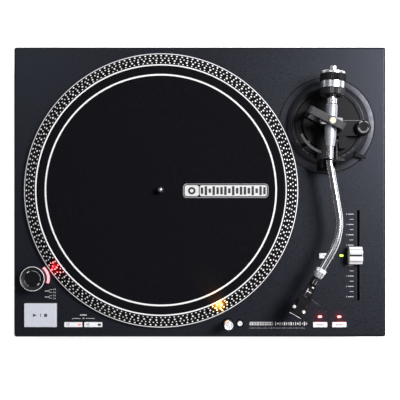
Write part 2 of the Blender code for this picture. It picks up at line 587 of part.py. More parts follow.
def make_yoke():
    side = upright(PIVOT, YOKE_ANGLE) @ Matrix.Rotation(math.pi / 2, 4, "X")
    foot = ARM_TABLE_TOP + GAP
    half = YOKE_WIDTH / 2
    inside = GIMBAL_HALF_WIDTH + 0.0010
    yoke = plate("bearing_yoke", [
        (-YOKE_LEFT, foot), (YOKE_RIGHT, foot), (YOKE_RIGHT, YOKE_TOP - 0.0025),
        (YOKE_RIGHT - 0.0025, YOKE_TOP), (-YOKE_LEFT + 0.0025, YOKE_TOP), (-YOKE_LEFT, YOKE_TOP - 0.0025)],
        -half, half, DARK_METAL, side)
    leg = -YOKE_LEFT + 0.0045
    cut(yoke, plate("yoke_window", [
        (leg, foot + 0.004), (inside, foot + 0.004), (inside, YOKE_TOP - 0.004), (leg, YOKE_TOP - 0.004)],
        -0.02, 0.02, None, side))
    cup = ARM_AXIS - GIMBAL_HALF_HEIGHT
    join(yoke, turned("lower_bearing", [
        (0, cup + 0.0011), (0.0018, cup + 0.0011), (0.0018, cup - GAP), (0.0050, cup - GAP),
        (0.0062, foot + 0.002), (0, foot + 0.002)], 16, None, upright(PIVOT)))
    cut(yoke, rods("screw_hole", 0.0022 + GAP, YOKE_TOP - 0.01, YOKE_TOP + 0.01, [PIVOT], sides=20))
    turned("pivot_screw", [
        (0, YOKE_TOP + 0.0020), (0.0034, YOKE_TOP + 0.0020), (0.0040, YOKE_TOP + 0.0014),
        (0.0040, YOKE_TOP + GAP), (0.0022, YOKE_TOP + GAP), (0.0022, YOKE_TOP - 0.0055),
        (0, YOKE_TOP - 0.0055)], 16, BRASS, upright(PIVOT))


def make_antiskate():
    foot = ARM_TABLE_TOP + GAP
    x, y = ANTISKATE_CENTRE.x, ANTISKATE_CENTRE.y
    half = ANTISKATE_WIDTH / 2
    outline = [(0.1633, y - half)] + arc((x, y), half, -math.pi / 2, math.pi / 2, 11) + [(0.1633, y + half)]
    body = plate("antiskate_housing", outline, foot, ANTISKATE_TOP, DECK_PAINT)
    cut(body, block("yoke_room", (-0.002, -YOKE_WIDTH / 2 - GAP, foot - 0.01),
                    (YOKE_RIGHT + GAP, YOKE_WIDTH / 2 + GAP, DECK + 0.06), None, upright(PIVOT, YOKE_ANGLE)))
    cut(body, rods("knob_hole", 0.0023, ANTISKATE_TOP - 0.004, ANTISKATE_TOP + 0.01,
                   [ANTISKATE_CENTRE], sides=16))
    low = ANTISKATE_TOP + GAP
    turned("antiskate_knob", [
        (0, ANTISKATE_KNOB_TOP), (0.0080, ANTISKATE_KNOB_TOP), (0.0089, ANTISKATE_KNOB_TOP - 0.0009),
        (0.0089, low), (0.0020, low), (0.0020, low - 0.0035), (0, low - 0.0035)], 24, DARK_METAL,
        upright(ANTISKATE_CENTRE))


def make_arm_rest():
    """Fork that carries the tube. Its platter side stays below the tube, so that the arm swings out."""
    side = Matrix.Rotation(math.pi / 2, 4, "X")            # own X and Y are the deck's X and height
    near, far = 0.0275, 0.0380
    seat = ARM_AXIS - TUBE_RADIUS - 0.0004
    foot = TONGUE_TOP + GAP
    rest = plate("arm_rest", [
        (0.1470, foot), (0.1590, foot), (0.1590, foot + 0.009), (0.1612, foot + 0.014),
        (0.1612, ARM_AXIS + 0.0048), (0.1592, ARM_AXIS + 0.0048), (0.1590, seat), (0.1445, seat),
        (0.1420, seat - 0.0020), (0.1420, seat - 0.0060), (0.1470, seat - 0.0110)],
        -far, -near, PLASTIC_BLACK, side)
    cut(rest, block("clip_room", (0.1588, CLIP_Y - 0.0018, ARM_AXIS - 0.0075),
                    (0.1700, 0.05, ARM_AXIS + 0.02)))
    hinge = Matrix.Translation((CLIP_HINGE[0], 0, CLIP_HINGE[1])) @ Matrix.Rotation(-math.pi / 2, 4, "X")
    join(rest, rod("clip_pin", 0.0009, near + 0.003, CLIP_Y + 0.0019, None, hinge, sides=16))
    x, z = CLIP_HINGE
    clip = plate("arm_clip", [
        (x - 0.001, z - 0.001), (x + 0.0070, z - 0.001), (x + 0.0070, z + 0.0145), (x + 0.0005, z + 0.0145),
        (x + 0.0005, z + 0.0137), (x + 0.0050, z + 0.0137), (x + 0.0050, z + 0.001), (x - 0.001, z + 0.001)],
        -CLIP_Y - 0.0015, -CLIP_Y + 0.0015, PLASTIC_BLACK, side)
    join(clip, rod("clip_hub", 0.0022, CLIP_Y - 0.0015, CLIP_Y + 0.0015, None, hinge, sides=20))
    cut(clip, rod("clip_bore", 0.0009 + GAP, 0.02, 0.05, None, hinge, sides=16))


def make_cueing():
    start, end = LIFTER_ANGLES
    half = 0.0016
    outline = (arc((0, 0), LIFTER_RADIUS + half, start, end, 8)
               + arc((0, 0), LIFTER_RADIUS - half, end, start, 8))
    lifter = plate("lifter", outline, LIFTER_TOP - 0.003, LIFTER_TOP, RUBBER_BLACK, upright(PIVOT))
    post = PIVOT + LIFTER_POST_RADIUS * heading(LIFTER_POST_ANGLE)
    join(lifter, rod("lifter_post", LIFTER_POST, DECK + 0.0035, LIFTER_TOP - 0.002,
                     None, upright(post), sides=16))

    x_low, x_high = CUE_X
    across = Matrix.Translation((0, CUE_HINGE[0], CUE_HINGE[1])) @ Matrix.Rotation(math.pi / 2, 4, "Y")
    lever = rod("cue_lever", 0.0032, x_low, x_high, DARK_METAL, across, sides=24)
    middle = (x_low + x_high) / 2
    reach = Matrix.Translation((middle, CUE_HINGE[0], CUE_HINGE[1])) @ Matrix.Rotation(math.pi / 2, 4, "X")
    join(lever, rod("lever_bar", 0.0014, 0.001, CUE_REACH - 0.003, None, reach, sides=16))
    join(lever, rod("lever_grip", 0.0019, CUE_REACH - 0.0085, CUE_REACH, None, reach, sides=16))


# ---- tonearm ----------------------------------------------------------------------------------
def bend(before, corner, after, radius, count):
    """Points of a rounded corner between two straight runs."""
    inward = (before - corner).normalized()
    outward = (after - corner).normalized()
    half = inward.angle(outward) / 2
    centre = corner + (inward + outward).normalized() * (radius / math.sin(half))
    first = (corner + inward * (radius / math.tan(half)) - centre).normalized()
    last = (corner + outward * (radius / math.tan(half)) - centre).normalized()
    return [centre + radius * first.slerp(last, i / (count - 1)) for i in range(count)]


def make_arm_tube():
    forward, middle, head = heading(ARM_DIRECTION), heading(OUTER_BEND), heading(HEAD_DIRECTION)
    start = forward * (BARREL_FRONT + GAP)
    corner_b = forward * BEND_B
    corner_c = corner_b + middle * BEND_RUN
    plug = corner_c + head * COLLAR_FROM_C
    end = plug + head * (LOCKING_LENGTH / 2 - 0.001)
    points = ([start] + bend(start, corner_b, corner_c, FIRST_BEND_RADIUS, 4)
              + bend(corner_b, corner_c, end, SECOND_BEND_RADIUS, 8) + [end])
    tube("arm_tube", points, TUBE_RADIUS, ALUMINIUM, arm_origin(), roundness=3)
    return arm_origin() + plug


def arm_origin():
    return PIVOT + Vector((0, 0, ARM_AXIS))


def make_gimbal_and_barrel():
    ahead = place(arm_origin(), heading(ARM_DIRECTION))    # own Z forward, own Y up
    across = ahead @ Matrix.Rotation(math.pi / 2, 4, "Y")
    half_w, half_h, half_l = GIMBAL_HALF_WIDTH, GIMBAL_HALF_HEIGHT, GIMBAL_LENGTH / 2
    gimbal = block("gimbal", (-half_w, -half_h, -half_l), (half_w, half_h, half_l), STEEL, ahead)
    cut(gimbal, block("gimbal_window", (-half_w + 0.003, -half_h + 0.0015, -0.02),
                      (half_w - 0.003, half_h - 0.0015, 0.02), None, ahead))
    cut(gimbal, rod("tilt_bearings", 0.0015 + GAP, -0.02, 0.02, None, across, sides=16))
    cut(gimbal, rods("swing_bearings", 0.0022 + GAP, ARM_AXIS - 0.02, ARM_AXIS + 0.02, [PIVOT], sides=20))

    front_radius = 0.0056
    barrel = turned("arm_housing", [
        (0, BARREL_FRONT), (front_radius - 0.0004, BARREL_FRONT), (front_radius, BARREL_FRONT - 0.0004),
        (0.0066, 0.018), (BARREL_RADIUS, 0.009), (BARREL_RADIUS, -BARREL_REAR + 0.003),
        (0.0062, -BARREL_REAR), (0, -BARREL_REAR)], 24, ALUMINIUM, ahead)
    join(barrel, rod("tilt_pins", 0.0015, -0.0112, 0.0112, None, across, sides=16))


def make_rear_end():
    behind = place(arm_origin(), -heading(ARM_DIRECTION))  # own Z to the rear
    turned("rear_shaft", [(0, 0.0655), (0.0032, 0.0655), (0.0040, 0.0648), (0.0040, BARREL_REAR + GAP),
                          (0, BARREL_REAR + GAP)], 16, ALUMINIUM, behind)
    turned("weight_sleeve", [(0.0043, 0.0560), (0.0054, 0.0560), (0.0054, 0.0330), (0.0043, 0.0330)],
           16, BRASS, behind, ring=True)
    turned("counterweight", [
        (0.0057, 0.0590), (0.0143, 0.0590), (0.01535, 0.0580), (0.01535, 0.0515), (0.01375, 0.0511),
        (0.01375, 0.0393), (0.0070, 0.0393), (0.0070, 0.0330), (0.0057, 0.0330)],
        36, STEEL, behind, ring=True)
    turned("force_dial", [
        (0.0073, 0.0390), (0.0145, 0.0390), (0.0145, 0.0312), (0.0137, 0.0303), (0.0073, 0.0303)],
        36, PLASTIC_BLACK, behind, ring=True)


def make_head(plug):
    ahead = place(plug, heading(HEAD_DIRECTION))           # own Z forward, own Y up
    half = LOCKING_LENGTH / 2
    turned("locking_collar", [
        (TUBE_RADIUS + GAP, half), (0.0058, half), (0.0064, half - 0.0008), (0.0064, -half + 0.0008),
        (0.0058, -half), (TUBE_RADIUS + GAP, -half)], 24, ALUMINIUM, ahead, ring=True)

    flat = upright(plug - Vector((0, 0, ARM_AXIS)), HEAD_DIRECTION)   # own X forward
    start, front = HEAD_START, HEAD_START + HEADSHELL_LENGTH
    outline = [(start, -0.0053), (start + 0.014, -0.0053), (start + 0.025, -0.0083),
               (front - 0.0015, -0.0085), (front, -0.0070), (front, 0.0070), (front - 0.0015, 0.0085),
               (start + 0.025, 0.0083), (start + 0.014, 0.0053), (start, 0.0053)]
    shell_low, shell_high = ARM_AXIS - 0.0027, ARM_AXIS + 0.0015
    shell = plate("headshell", outline, shell_low, shell_high, PLASTIC_BLACK, flat)
    cut(shell, block("lead_slot", (start + 0.017, -0.0035, shell_low - 0.01),
                     (start + 0.024, 0.0035, shell_high + 0.01), None, flat))
    join(shell, rod("neck", 0.0052, half + GAP, start + 0.006, None, ahead, sides=20))
    lift = [(0.0316, 0.0045, -0.0006), (0.0324, 0.0110, -0.0008), (0.0334, 0.0175, -0.0004),
            (0.0344, 0.0235, 0.0010), (0.0353, 0.0289, 0.0032)]
    points = [flat @ Vector((forward, aside, ARM_AXIS + rise)) for forward, aside, rise in lift]
    join(shell, tube("finger_lift", points, 0.0011, None, roundness=2))

    low = ARM_AXIS - 0.0150
    block("cartridge", (front - 0.0265, -0.0080, low), (front - 0.0010, 0.0080, shell_low - GAP),
          PLASTIC_BLACK, flat, edge=0.0008)
    stylus = block("stylus", (front - 0.0190, -0.0040, low - GAP - 0.0022),
                   (front - 0.0045, 0.0040, low - GAP), WHITE_PLASTIC, flat, edge=0.0004, segments=1)
    tip = Vector((start + STYLUS_REACH, 0, DECK + 0.0182))
    root = Vector((front - 0.0090, 0, low - GAP - 0.0012))
    join(stylus, tube("cantilever", [flat @ root, flat @ tip], 0.0004, None, roundness=2))


def main():
    make_top_plate()
    make_base_tray()
    make_rear_connectors()
    make_insides()
    make_motor()
    make_platter_parts()
    make_strobe()
    make_buttons()
    make_lamp()
    make_fader()
    make_feet()
    make_arm_base()
    make_yoke()
    make_antiskate()
    make_arm_rest()
    make_cueing()
    make_gimbal_and_barrel()
    plug = make_arm_tube()
    make_rear_end()
    make_head(plug)


main()
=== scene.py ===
"""Looks of the turntable record player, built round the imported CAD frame. Lengths are in metres."""
import json
import math

import bmesh
import bpy
from mathutils import Matrix, Vector


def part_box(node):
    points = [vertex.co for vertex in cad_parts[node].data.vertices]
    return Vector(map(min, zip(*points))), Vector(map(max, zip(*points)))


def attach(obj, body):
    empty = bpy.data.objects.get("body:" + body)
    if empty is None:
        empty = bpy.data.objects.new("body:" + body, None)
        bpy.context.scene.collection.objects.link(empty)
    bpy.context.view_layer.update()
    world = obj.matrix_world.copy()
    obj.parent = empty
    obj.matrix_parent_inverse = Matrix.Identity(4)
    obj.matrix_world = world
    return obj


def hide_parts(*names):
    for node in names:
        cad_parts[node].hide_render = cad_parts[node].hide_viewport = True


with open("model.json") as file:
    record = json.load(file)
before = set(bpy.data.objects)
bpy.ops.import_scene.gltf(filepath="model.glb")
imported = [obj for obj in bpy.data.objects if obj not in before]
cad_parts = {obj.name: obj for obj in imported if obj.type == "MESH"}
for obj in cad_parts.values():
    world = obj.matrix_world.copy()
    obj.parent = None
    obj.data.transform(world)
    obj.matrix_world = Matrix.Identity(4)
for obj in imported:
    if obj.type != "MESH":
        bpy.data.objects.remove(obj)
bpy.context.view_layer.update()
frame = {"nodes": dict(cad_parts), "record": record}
NODES = frame["nodes"]
JOINTS = {joint["name"]: joint for joint in frame["record"]["behaviour"]["joints"]}


# ---- places read from the frame, and shared measures --------------------------------------------
def box(node):
    low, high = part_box(node)
    return Vector(low), Vector(high)


def middle(node):
    low, high = box(node)
    return (low + high) / 2


def joint_point(name):
    return Vector(JOINTS[name]["pos_m"])


def joint_axis(name):
    return Vector(JOINTS[name]["axis"]).normalized()


def on_deck(node):
    """The middle of a node, at the height of the deck."""
    centre = middle(node)
    centre.z = DECK
    return centre


def half_width(node):
    low, high = box(node)
    return (high.x - low.x) / 2


def rise(node):
    """Height of a node's top over the deck."""
    return box(node)[1].z - DECK


DECK = box("top_plate")[1].z
HUB = on_deck("platter")
PLATTER_RADIUS = half_width("platter")
MAT_LOW, MAT_TOP = box("slipmat")[0].z, box("slipmat")[1].z
MAT_RADIUS = half_width("slipmat")
PIVOT = joint_point("arm_swing")
REAR = joint_axis("weight_turn")
FORWARD = -REAR
HEAD = joint_axis("locking_collar_turn")
PLUG = joint_point("locking_collar_turn")
UP = Vector((0, 0, 1))
GAP = 0.0003                    # room between pieces that move past each other
PRINT_LIFT = 0.00004            # middle of a print over the face it lies on
LATHE_PITCH = 0.00025           # fine rings on turned metal


def place(origin, axis=UP):
    """Matrix that puts a piece's own Z along the axis, and its own Y as far up as it goes."""
    return Matrix.Translation(origin) @ axis.to_track_quat("Z", "Y").to_matrix().to_4x4()


def upright(origin, angle=0.0):
    return Matrix.Translation(origin) @ Matrix.Rotation(angle, 4, "Z")


# ---- materials ----------------------------------------------------------------------------------
class Finish:
    """A Principled material with object coordinates ready for its texture nodes."""

    def __init__(self, name, colour, roughness, metallic=0.0, **sockets):
        self.material = bpy.data.materials.new(name)
        self.material.use_nodes = True
        self.tree = self.material.node_tree
        self.shader = self.tree.nodes["Principled BSDF"]
        self.colour = (*colour, 1.0)
        self.shader.inputs["Base Color"].default_value = self.colour
        self.shader.inputs["Roughness"].default_value = roughness
        self.shader.inputs["Metallic"].default_value = metallic
        for socket, value in sockets.items():
            self.shader.inputs[socket.replace("_", " ")].default_value = value
        self.coordinates = self.node("ShaderNodeTexCoord").outputs["Object"]
        self.height = None

    def node(self, kind, **settings):
        node = self.tree.nodes.new(kind)
        for key, value in settings.items():
            setattr(node, key, value)
        return node

    def link(self, output, target):
        self.tree.links.new(output, target)

    def noise(self, scale, detail=3.0, stretch=None):
        texture = self.node("ShaderNodeTexNoise")
        texture.inputs["Scale"].default_value = scale
        texture.inputs["Detail"].default_value = detail
        source = self.coordinates
        if stretch:
            mapping = self.node("ShaderNodeMapping")
            mapping.inputs["Scale"].default_value = stretch
            self.link(source, mapping.inputs["Vector"])
            source = mapping.outputs["Vector"]
        self.link(source, texture.inputs["Vector"])
        return texture.outputs["Fac"]

    def cells(self, scale):
        texture = self.node("ShaderNodeTexVoronoi")
        texture.inputs["Scale"].default_value = scale
        self.link(self.coordinates, texture.inputs["Vector"])
        return texture.outputs["Distance"]

    def maths(self, operation, first, second=0.0, third=None):
        node = self.node("ShaderNodeMath", operation=operation)
        for index, value in enumerate((first, second, third)):
            if value is None:
                continue
            if isinstance(value, (int, float)):
                node.inputs[index].default_value = value
            else:
                self.link(value, node.inputs[index])
        return node.outputs["Value"]

    def spread(self, factor, low, high, from_low=0.3, from_high=0.7):
        node = self.node("ShaderNodeMapRange")
        for key, value in zip(("From Min", "From Max", "To Min", "To Max"), (from_low, from_high, low, high)):
            node.inputs[key].default_value = value
        self.link(factor, node.inputs["Value"])
        return node.outputs["Result"]

    def mix(self, factor, first, second):
        node = self.node("ShaderNodeMix", data_type="RGBA")
        self.link(factor, node.inputs["Factor"])
        for socket, value in ((node.inputs[6], first), (node.inputs[7], second)):
            if isinstance(value, tuple):
                socket.default_value = value if len(value) == 4 else (*value, 1.0)
            else:
                self.link(value, socket)
        return node.outputs[2]

    def paint(self, colour):
        self.link(colour, self.shader.inputs["Base Color"])
        return self

    def shine(self, roughness):
        self.link(roughness, self.shader.inputs["Roughness"])
        return self

    def bump(self, height, distance, strength=1.0):
        node = self.node("ShaderNodeBump")
        node.inputs["Distance"].default_value = distance
        node.inputs["Strength"].default_value = strength
        self.link(height, node.inputs["Height"])
        if self.height is not None:
            self.link(self.height, node.inputs["Normal"])
        self.height = node.outputs["Normal"]
        self.link(self.height, self.shader.inputs["Normal"])
        return self

    def shade(self, amount, scale=60.0):
        """Slow variation of the colour, as cast or painted surfaces have."""
        dark = tuple(c * (1 - amount) for c in self.colour[:3])
        light = tuple(min(1.0, c * (1 + amount)) for c in self.colour[:3])
        return self.paint(self.mix(self.spread(self.noise(scale), 0.0, 1.0), dark, light))

    def painted_edge_highlight(self, highlight_colour, amount, radius):
        """Lighter edges, a painted highlight where the rims would catch light, found where a bevelled normal
        leaves the true one.
        """
        bevel = self.node("ShaderNodeBevel", samples=4)
        bevel.inputs["Radius"].default_value = radius
        geometry = self.node("ShaderNodeNewGeometry")
        product = self.node("ShaderNodeVectorMath", operation="DOT_PRODUCT")
        self.link(bevel.outputs["Normal"], product.inputs[0])
        self.link(geometry.outputs["Normal"], product.inputs[1])
        # edge: mask of the rims that take the painted highlight
        edge = self.spread(product.outputs["Value"], amount, 0.0, 0.80, 0.985)
        source = self.shader.inputs["Base Color"]
        base = source.links[0].from_socket if source.links else self.colour
        return self.paint(self.mix(edge, base, highlight_colour))


def deck_paint():
    paint = Finish("deck_paint", (0.005, 0.0053, 0.007), 0.34, Specular_IOR_Level=0.27,
                   Specular_Tint=(0.78, 0.84, 1.0, 1.0))
    speck = paint.cells(900.0)
    paint.paint(paint.mix(paint.spread(paint.noise(700.0, 4.0), 0.0, 1.0, 0.35, 0.65),
                          (0.0035, 0.0038, 0.0058), (0.0120, 0.0130, 0.0185)))
    paint.shine(paint.spread(paint.noise(520.0), 0.26, 0.44))
    paint.bump(speck, 0.00006, 0.5)
    return paint.bump(paint.noise(1500.0, 2.0), 0.00005, 0.5)


def moulded(name, colour, roughness, grain=900.0, depth=0.00005, mottle=0.22, **sockets):
    """Moulded plastic or a fine spark-eroded paint."""
    finish = Finish(name, colour, roughness, **sockets)
    finish.shade(mottle, 90.0)
    finish.shine(finish.spread(finish.noise(grain / 4), roughness - 0.05, roughness + 0.06))
    return finish.bump(finish.noise(grain, 3.0), depth, 0.6)


def rubber(name, colour):
    finish = Finish(name, colour, 0.78)
    finish.shade(0.25, 40.0)
    finish.shine(finish.spread(finish.noise(220.0), 0.70, 0.86))
    finish.bump(finish.cells(520.0), 0.00012, 0.5)
    return finish.bump(finish.noise(1400.0), 0.00006, 0.5)


def brushed(name, colour, roughness, stretch):
    """Metal with fine lines; stretch is large across the lines and small along them."""
    finish = Finish(name, colour, roughness, 1.0)
    line = finish.noise(120.0, 4.0, stretch)
    finish.shine(finish.spread(line, roughness - 0.06, roughness + 0.08))
    finish.paint(finish.mix(finish.spread(line, 0.0, 1.0), tuple(0.9 * c for c in colour), colour))
    return finish.bump(line, 0.00002, 0.35)


def turned_metal(name, colour, roughness, metallic=1.0):
    """Metal with fine lathe rings across its object's own axis."""
    finish = Finish(name, colour, roughness, metallic)
    smear = finish.noise(85.0, 2.0)
    finish.shine(finish.spread(smear, roughness - 0.02, roughness + 0.03))
    finish.paint(finish.mix(finish.spread(smear, 0.0, 1.0), tuple(0.93 * c for c in colour), colour))
    wave = finish.node("ShaderNodeTexWave", wave_type="BANDS", bands_direction="Z")
    wave.inputs["Scale"].default_value = 1 / (LATHE_PITCH * 20)
    finish.link(finish.coordinates, wave.inputs["Vector"])
    return finish.bump(wave.outputs["Fac"], 0.000002, 0.2)


def felt():
    """Short black wool, with a white printed ring near the rim."""
    cloth = Finish("felt", (0.006, 0.0062, 0.008), 0.95, Specular_IOR_Level=0.08)
    fibre = cloth.noise(1300.0, 6.0)
    clump = cloth.noise(140.0, 4.0)
    wool = cloth.mix(cloth.spread(fibre, 0.0, 1.0, 0.35, 0.68),
                     (0.0012, 0.0013, 0.0020), (0.0078, 0.0082, 0.0112))
    wool = cloth.mix(cloth.spread(clump, 0.0, 0.35), wool, (0.003, 0.0031, 0.0042))
    split = cloth.node("ShaderNodeSeparateXYZ")
    cloth.link(cloth.coordinates, split.inputs["Vector"])
    x, y = (cloth.maths("POWER", split.outputs[axis], 2.0) for axis in "XY")
    radius = cloth.maths("SQRT", cloth.maths("ADD", x, y))
    ragged = cloth.maths("MULTIPLY_ADD", fibre, 0.00035, radius)
    ring_middle, ring_half, blur = 0.13855, 0.00100, 0.00012
    away = cloth.maths("ABSOLUTE", cloth.maths("SUBTRACT", ragged, ring_middle))
    printed = cloth.spread(away, 1.0, 0.0, ring_half - blur, ring_half + blur)
    cloth.paint(cloth.mix(printed, wool, (0.80, 0.80, 0.79)))
    cloth.bump(fibre, 0.00035, 0.7)
    return cloth.bump(clump, 0.0005, 0.35)


def glowing(name, colour, strength, roughness=0.25):
    """A lit lens: brighter in its middle, duller where the moulding thickens."""
    lens = Finish(name, colour, roughness)
    lens.shader.inputs["Emission Strength"].default_value = strength
    cloud = lens.spread(lens.noise(350.0, 2.0), 0.0, 1.0)
    lens.paint(lens.mix(cloud, tuple(0.8 * c for c in colour), colour))
    lens.link(lens.mix(cloud, tuple(0.75 * c for c in colour), colour), lens.shader.inputs["Emission Color"])
    return lens.bump(lens.noise(900.0), 0.00004, 0.4)


def ink(name, colour):
    """Screen-printed ink."""
    printed = Finish(name, colour, 0.5)
    printed.shade(0.08, 900.0)
    return printed.bump(printed.noise(1600.0), 0.00003, 0.5)


# every look, by the name that pieces ask for
M = {
    "deck": deck_paint(),
    "tray": rubber("tray_rubber", (0.014, 0.014, 0.015)),
    "foot": rubber("foot_rubber", (0.012, 0.012, 0.013)),
    "black": moulded("black_plastic", (0.006, 0.0062, 0.0075), 0.40, Specular_IOR_Level=0.30),
    "matt_black": moulded("matt_black_plastic", (0.003, 0.0031, 0.004), 0.55, Specular_IOR_Level=0.14),
    "base": moulded("arm_base_black", (0.0032, 0.0034, 0.0045), 0.40, Specular_IOR_Level=0.14),
    "collar": moulded("collar_grey", (0.0075, 0.008, 0.011), 0.42, 700.0, 0.00003, Specular_IOR_Level=0.62,
                      Specular_Tint=(0.85, 0.88, 1.0, 1.0)),
    "dark": moulded("dark_metal", (0.030, 0.031, 0.037), 0.36, 1300.0, 0.00009, Specular_IOR_Level=0.35),
    "pit": moulded("shadow_black", (0.002, 0.002, 0.0022), 0.80),
    "grey": moulded("button_grey", (0.56, 0.585, 0.65), 0.36, 700.0, 0.00002, 0.025),
    "silver": moulded("button_silver", (0.80, 0.81, 0.84), 0.34, 700.0, 0.00002, 0.05),
    "bright": turned_metal("polished_steel", (0.92, 0.92, 0.93), 0.20, metallic=0.35),
    "tube_chrome": moulded("tube_chrome", (0.62, 0.63, 0.66), 0.22, 60.0, 0.000001, 0.03, Metallic=1.0),
    "lip": turned_metal("bright_aluminium", (0.96, 0.96, 0.97), 0.30, metallic=0.08),
    "pale_brass": turned_metal("pale_brass", (0.86, 0.82, 0.66), 0.24, metallic=0.4),
    "rib": moulded("rib_grey", (0.09, 0.09, 0.10), 0.45),
    "shell": moulded("headshell_black", (0.0045, 0.0047, 0.006), 0.36, Specular_IOR_Level=0.16),
    "cartridge": moulded("cartridge_black", (0.006, 0.006, 0.0066), 0.30, 900.0, 0.00002),
    "cream": moulded("cream_sleeve", (0.60, 0.55, 0.42), 0.45),
    # grey painted shade, put on the white fader cap where its grooves would be shaded
    "shade": moulded("fader_painted_shade", (0.34, 0.35, 0.38), 0.40),
    "scale": ink("print_pale", (0.50, 0.50, 0.52)),
    "white": moulded("white_plastic", (0.80, 0.81, 0.83), 0.30, 500.0, 0.00003, 0.04),
    "felt": felt(),
    "bevel": moulded("bevel_black", (0.0025, 0.0025, 0.003), 0.34, Specular_IOR_Level=0.12),
    "dot": moulded("dot_silver", (0.96, 0.96, 0.97), 0.30, 1500.0, 0.00001, 0.02),
    "cast": moulded("cast_aluminium", (0.45, 0.46, 0.48), 0.45, 500.0, 0.0002, Metallic=1.0),
    "chrome": turned_metal("chrome", (0.68, 0.69, 0.72), 0.30, metallic=0.9),
    "barrel": moulded("barrel_satin", (0.42, 0.435, 0.48), 0.46, 60.0, 0.000001, 0.03, Metallic=0.75),
    "satin": turned_metal("satin_aluminium", (0.52, 0.53, 0.57), 0.36),
    "gunmetal": turned_metal("gunmetal", (0.22, 0.22, 0.24), 0.32),
    "steel": brushed("steel", (0.60, 0.61, 0.63), 0.28, (1.0, 8.0, 8.0)),
    "brass": turned_metal("brass", (0.86, 0.74, 0.52), 0.22),
    "gold": turned_metal("gold_plate", (0.90, 0.66, 0.28), 0.18),
    "print": ink("print_white", (0.62, 0.62, 0.62)),
    "dim_print": ink("print_grey", (0.22, 0.22, 0.24)),
    "dark_print": ink("print_dark", (0.05, 0.05, 0.055)),
    "ink": ink("print_black", (0.010, 0.010, 0.012)),
    "red_lens": glowing("red_window", (1.0, 0.36, 0.40), 0.95),
    "red_led": glowing("red_led", (1.0, 0.26, 0.24), 3.0),
    "pink_led": glowing("pink_led", (1.0, 0.16, 0.15), 1.4),
    "green_led": glowing("green_led", (0.66, 1.0, 0.12), 1.3),
    "amber": glowing("amber_lamp", (1.0, 0.55, 0.22), 3.0),
    "board": moulded("board_green", (0.02, 0.13, 0.05), 0.40),
    "copper": brushed("copper", (0.70, 0.33, 0.17), 0.35, (9.0, 1.0, 9.0)),
    "ferrite": moulded("ferrite", (0.05, 0.05, 0.05), 0.55, 300.0, 0.0002),
    "lead_red": moulded("lead_red", (0.22, 0.03, 0.025), 0.40),
    "lead_green": moulded("lead_green", (0.03, 0.12, 0.05), 0.40),
    "lead_blue": moulded("lead_blue", (0.03, 0.05, 0.16), 0.40),
    "lead_white": moulded("lead_white", (0.75, 0.75, 0.73), 0.40),
}
# the deck and the dark metal get a painted highlight on every rim
for key in ("deck", "dark"):
    M[key].painted_edge_highlight((0.24, 0.25, 0.28), 0.50, 0.0005)


# ---- mesh tools ---------------------------------------------------------------------------------
def show(obj):
    bpy.context.scene.collection.objects.link(obj)
    return obj


def weigh_normals(obj):
    obj.modifiers.new("weighted", "WEIGHTED_NORMAL").keep_sharp = True
    return obj


def from_bmesh(name, bm, looks, matrix=None, sharp=35.0):
    bmesh.ops.recalc_face_normals(bm, faces=bm.faces[:])
    mesh = bpy.data.meshes.new(name)
    bm.to_mesh(mesh)
    bm.free()
    mesh.shade_smooth()
    mesh.set_sharp_from_angle(angle=math.radians(sharp))
    for look in looks:
        mesh.materials.append(M[look].material)
    obj = show(bpy.data.objects.new(name, mesh))
    if matrix is not None:
        obj.matrix_world = matrix
    return weigh_normals(obj)


def from_curve(name, curve, look, matrix=None, shift=Vector()):
    """Turns a curve or text into one welded mesh piece."""
    holder = show(bpy.data.objects.new(name + "_curve", curve))
    evaluated = holder.evaluated_get(bpy.context.evaluated_depsgraph_get())
    mesh = bpy.data.meshes.new_from_object(evaluated)
    bpy.data.objects.remove(holder)
    bm = bmesh.new()
    bm.from_mesh(mesh)
    bmesh.ops.remove_doubles(bm, verts=bm.verts[:], dist=1e-6)
    bmesh.ops.translate(bm, verts=bm.verts[:], vec=shift)
    bpy.data.meshes.remove(mesh)
    return from_bmesh(name, bm, [look], matrix)


def lathe(name, sections, matrix, steps=96, closed=False, ribs=None, sharp=30.0):
    """A piece turned about its own Z, from sections of a look and its (radius, height) points.
    ribs gives a section's index the number and the depth of the grooves cut along it."""
    looks = list(dict.fromkeys(look for look, _ in sections))
    bm = bmesh.new()
    rings, ring_look = [], []
    for index, (look, points) in enumerate(sections):
        count, depth = (ribs or {}).get(index, (0, 0.0))
        for radius, height in points:
            if radius < 1e-7:
                ring = [bm.verts.new((0, 0, height))]
            else:
                ring = []
                for k in range(steps):
                    angle = math.tau * k / steps
                    r = radius - depth * (0.5 - 0.5 * math.cos(count * angle))
                    ring.append(bm.verts.new((r * math.cos(angle), r * math.sin(angle), height)))
            rings.append(ring)
            ring_look.append(looks.index(look))
    order = list(range(len(rings)))
    pairs = list(zip(order, order[1:])) + ([(order[-1], 0)] if closed else [])
    for first, second in pairs:
        a, b = rings[first], rings[second]
        for k in range(steps):
            n = (k + 1) % steps
            if len(a) == 1:
                corners = [a[0], b[k], b[n]]
            elif len(b) == 1:
                corners = [a[k], a[n], b[0]]
            else:
                corners = [a[k], a[n], b[n], b[k]]
            bm.faces.new(corners).material_index = ring_look[second]
    return from_bmesh(name, bm, looks, matrix, sharp)


def rod(look, radius, low, high):
    """Sections of a plain round bar, for lathe()."""
    return [(look, [(0, high), (radius, high), (radius, low), (0, low)])]


def band(look, inner, outer, low, high):
    """Sections of a plain closed ring, for lathe()."""
    return [(look, [(inner, low), (inner, high), (outer, high), (outer, low)])]


def cube(bm, low, high, matrix=None):
    low, high = Vector(low), Vector(high)
    size = Matrix.Translation((low + high) / 2) @ Matrix.Diagonal((*(high - low), 1.0))
    return bmesh.ops.create_cube(bm, size=1.0, matrix=(matrix or Matrix()) @ size)["verts"]


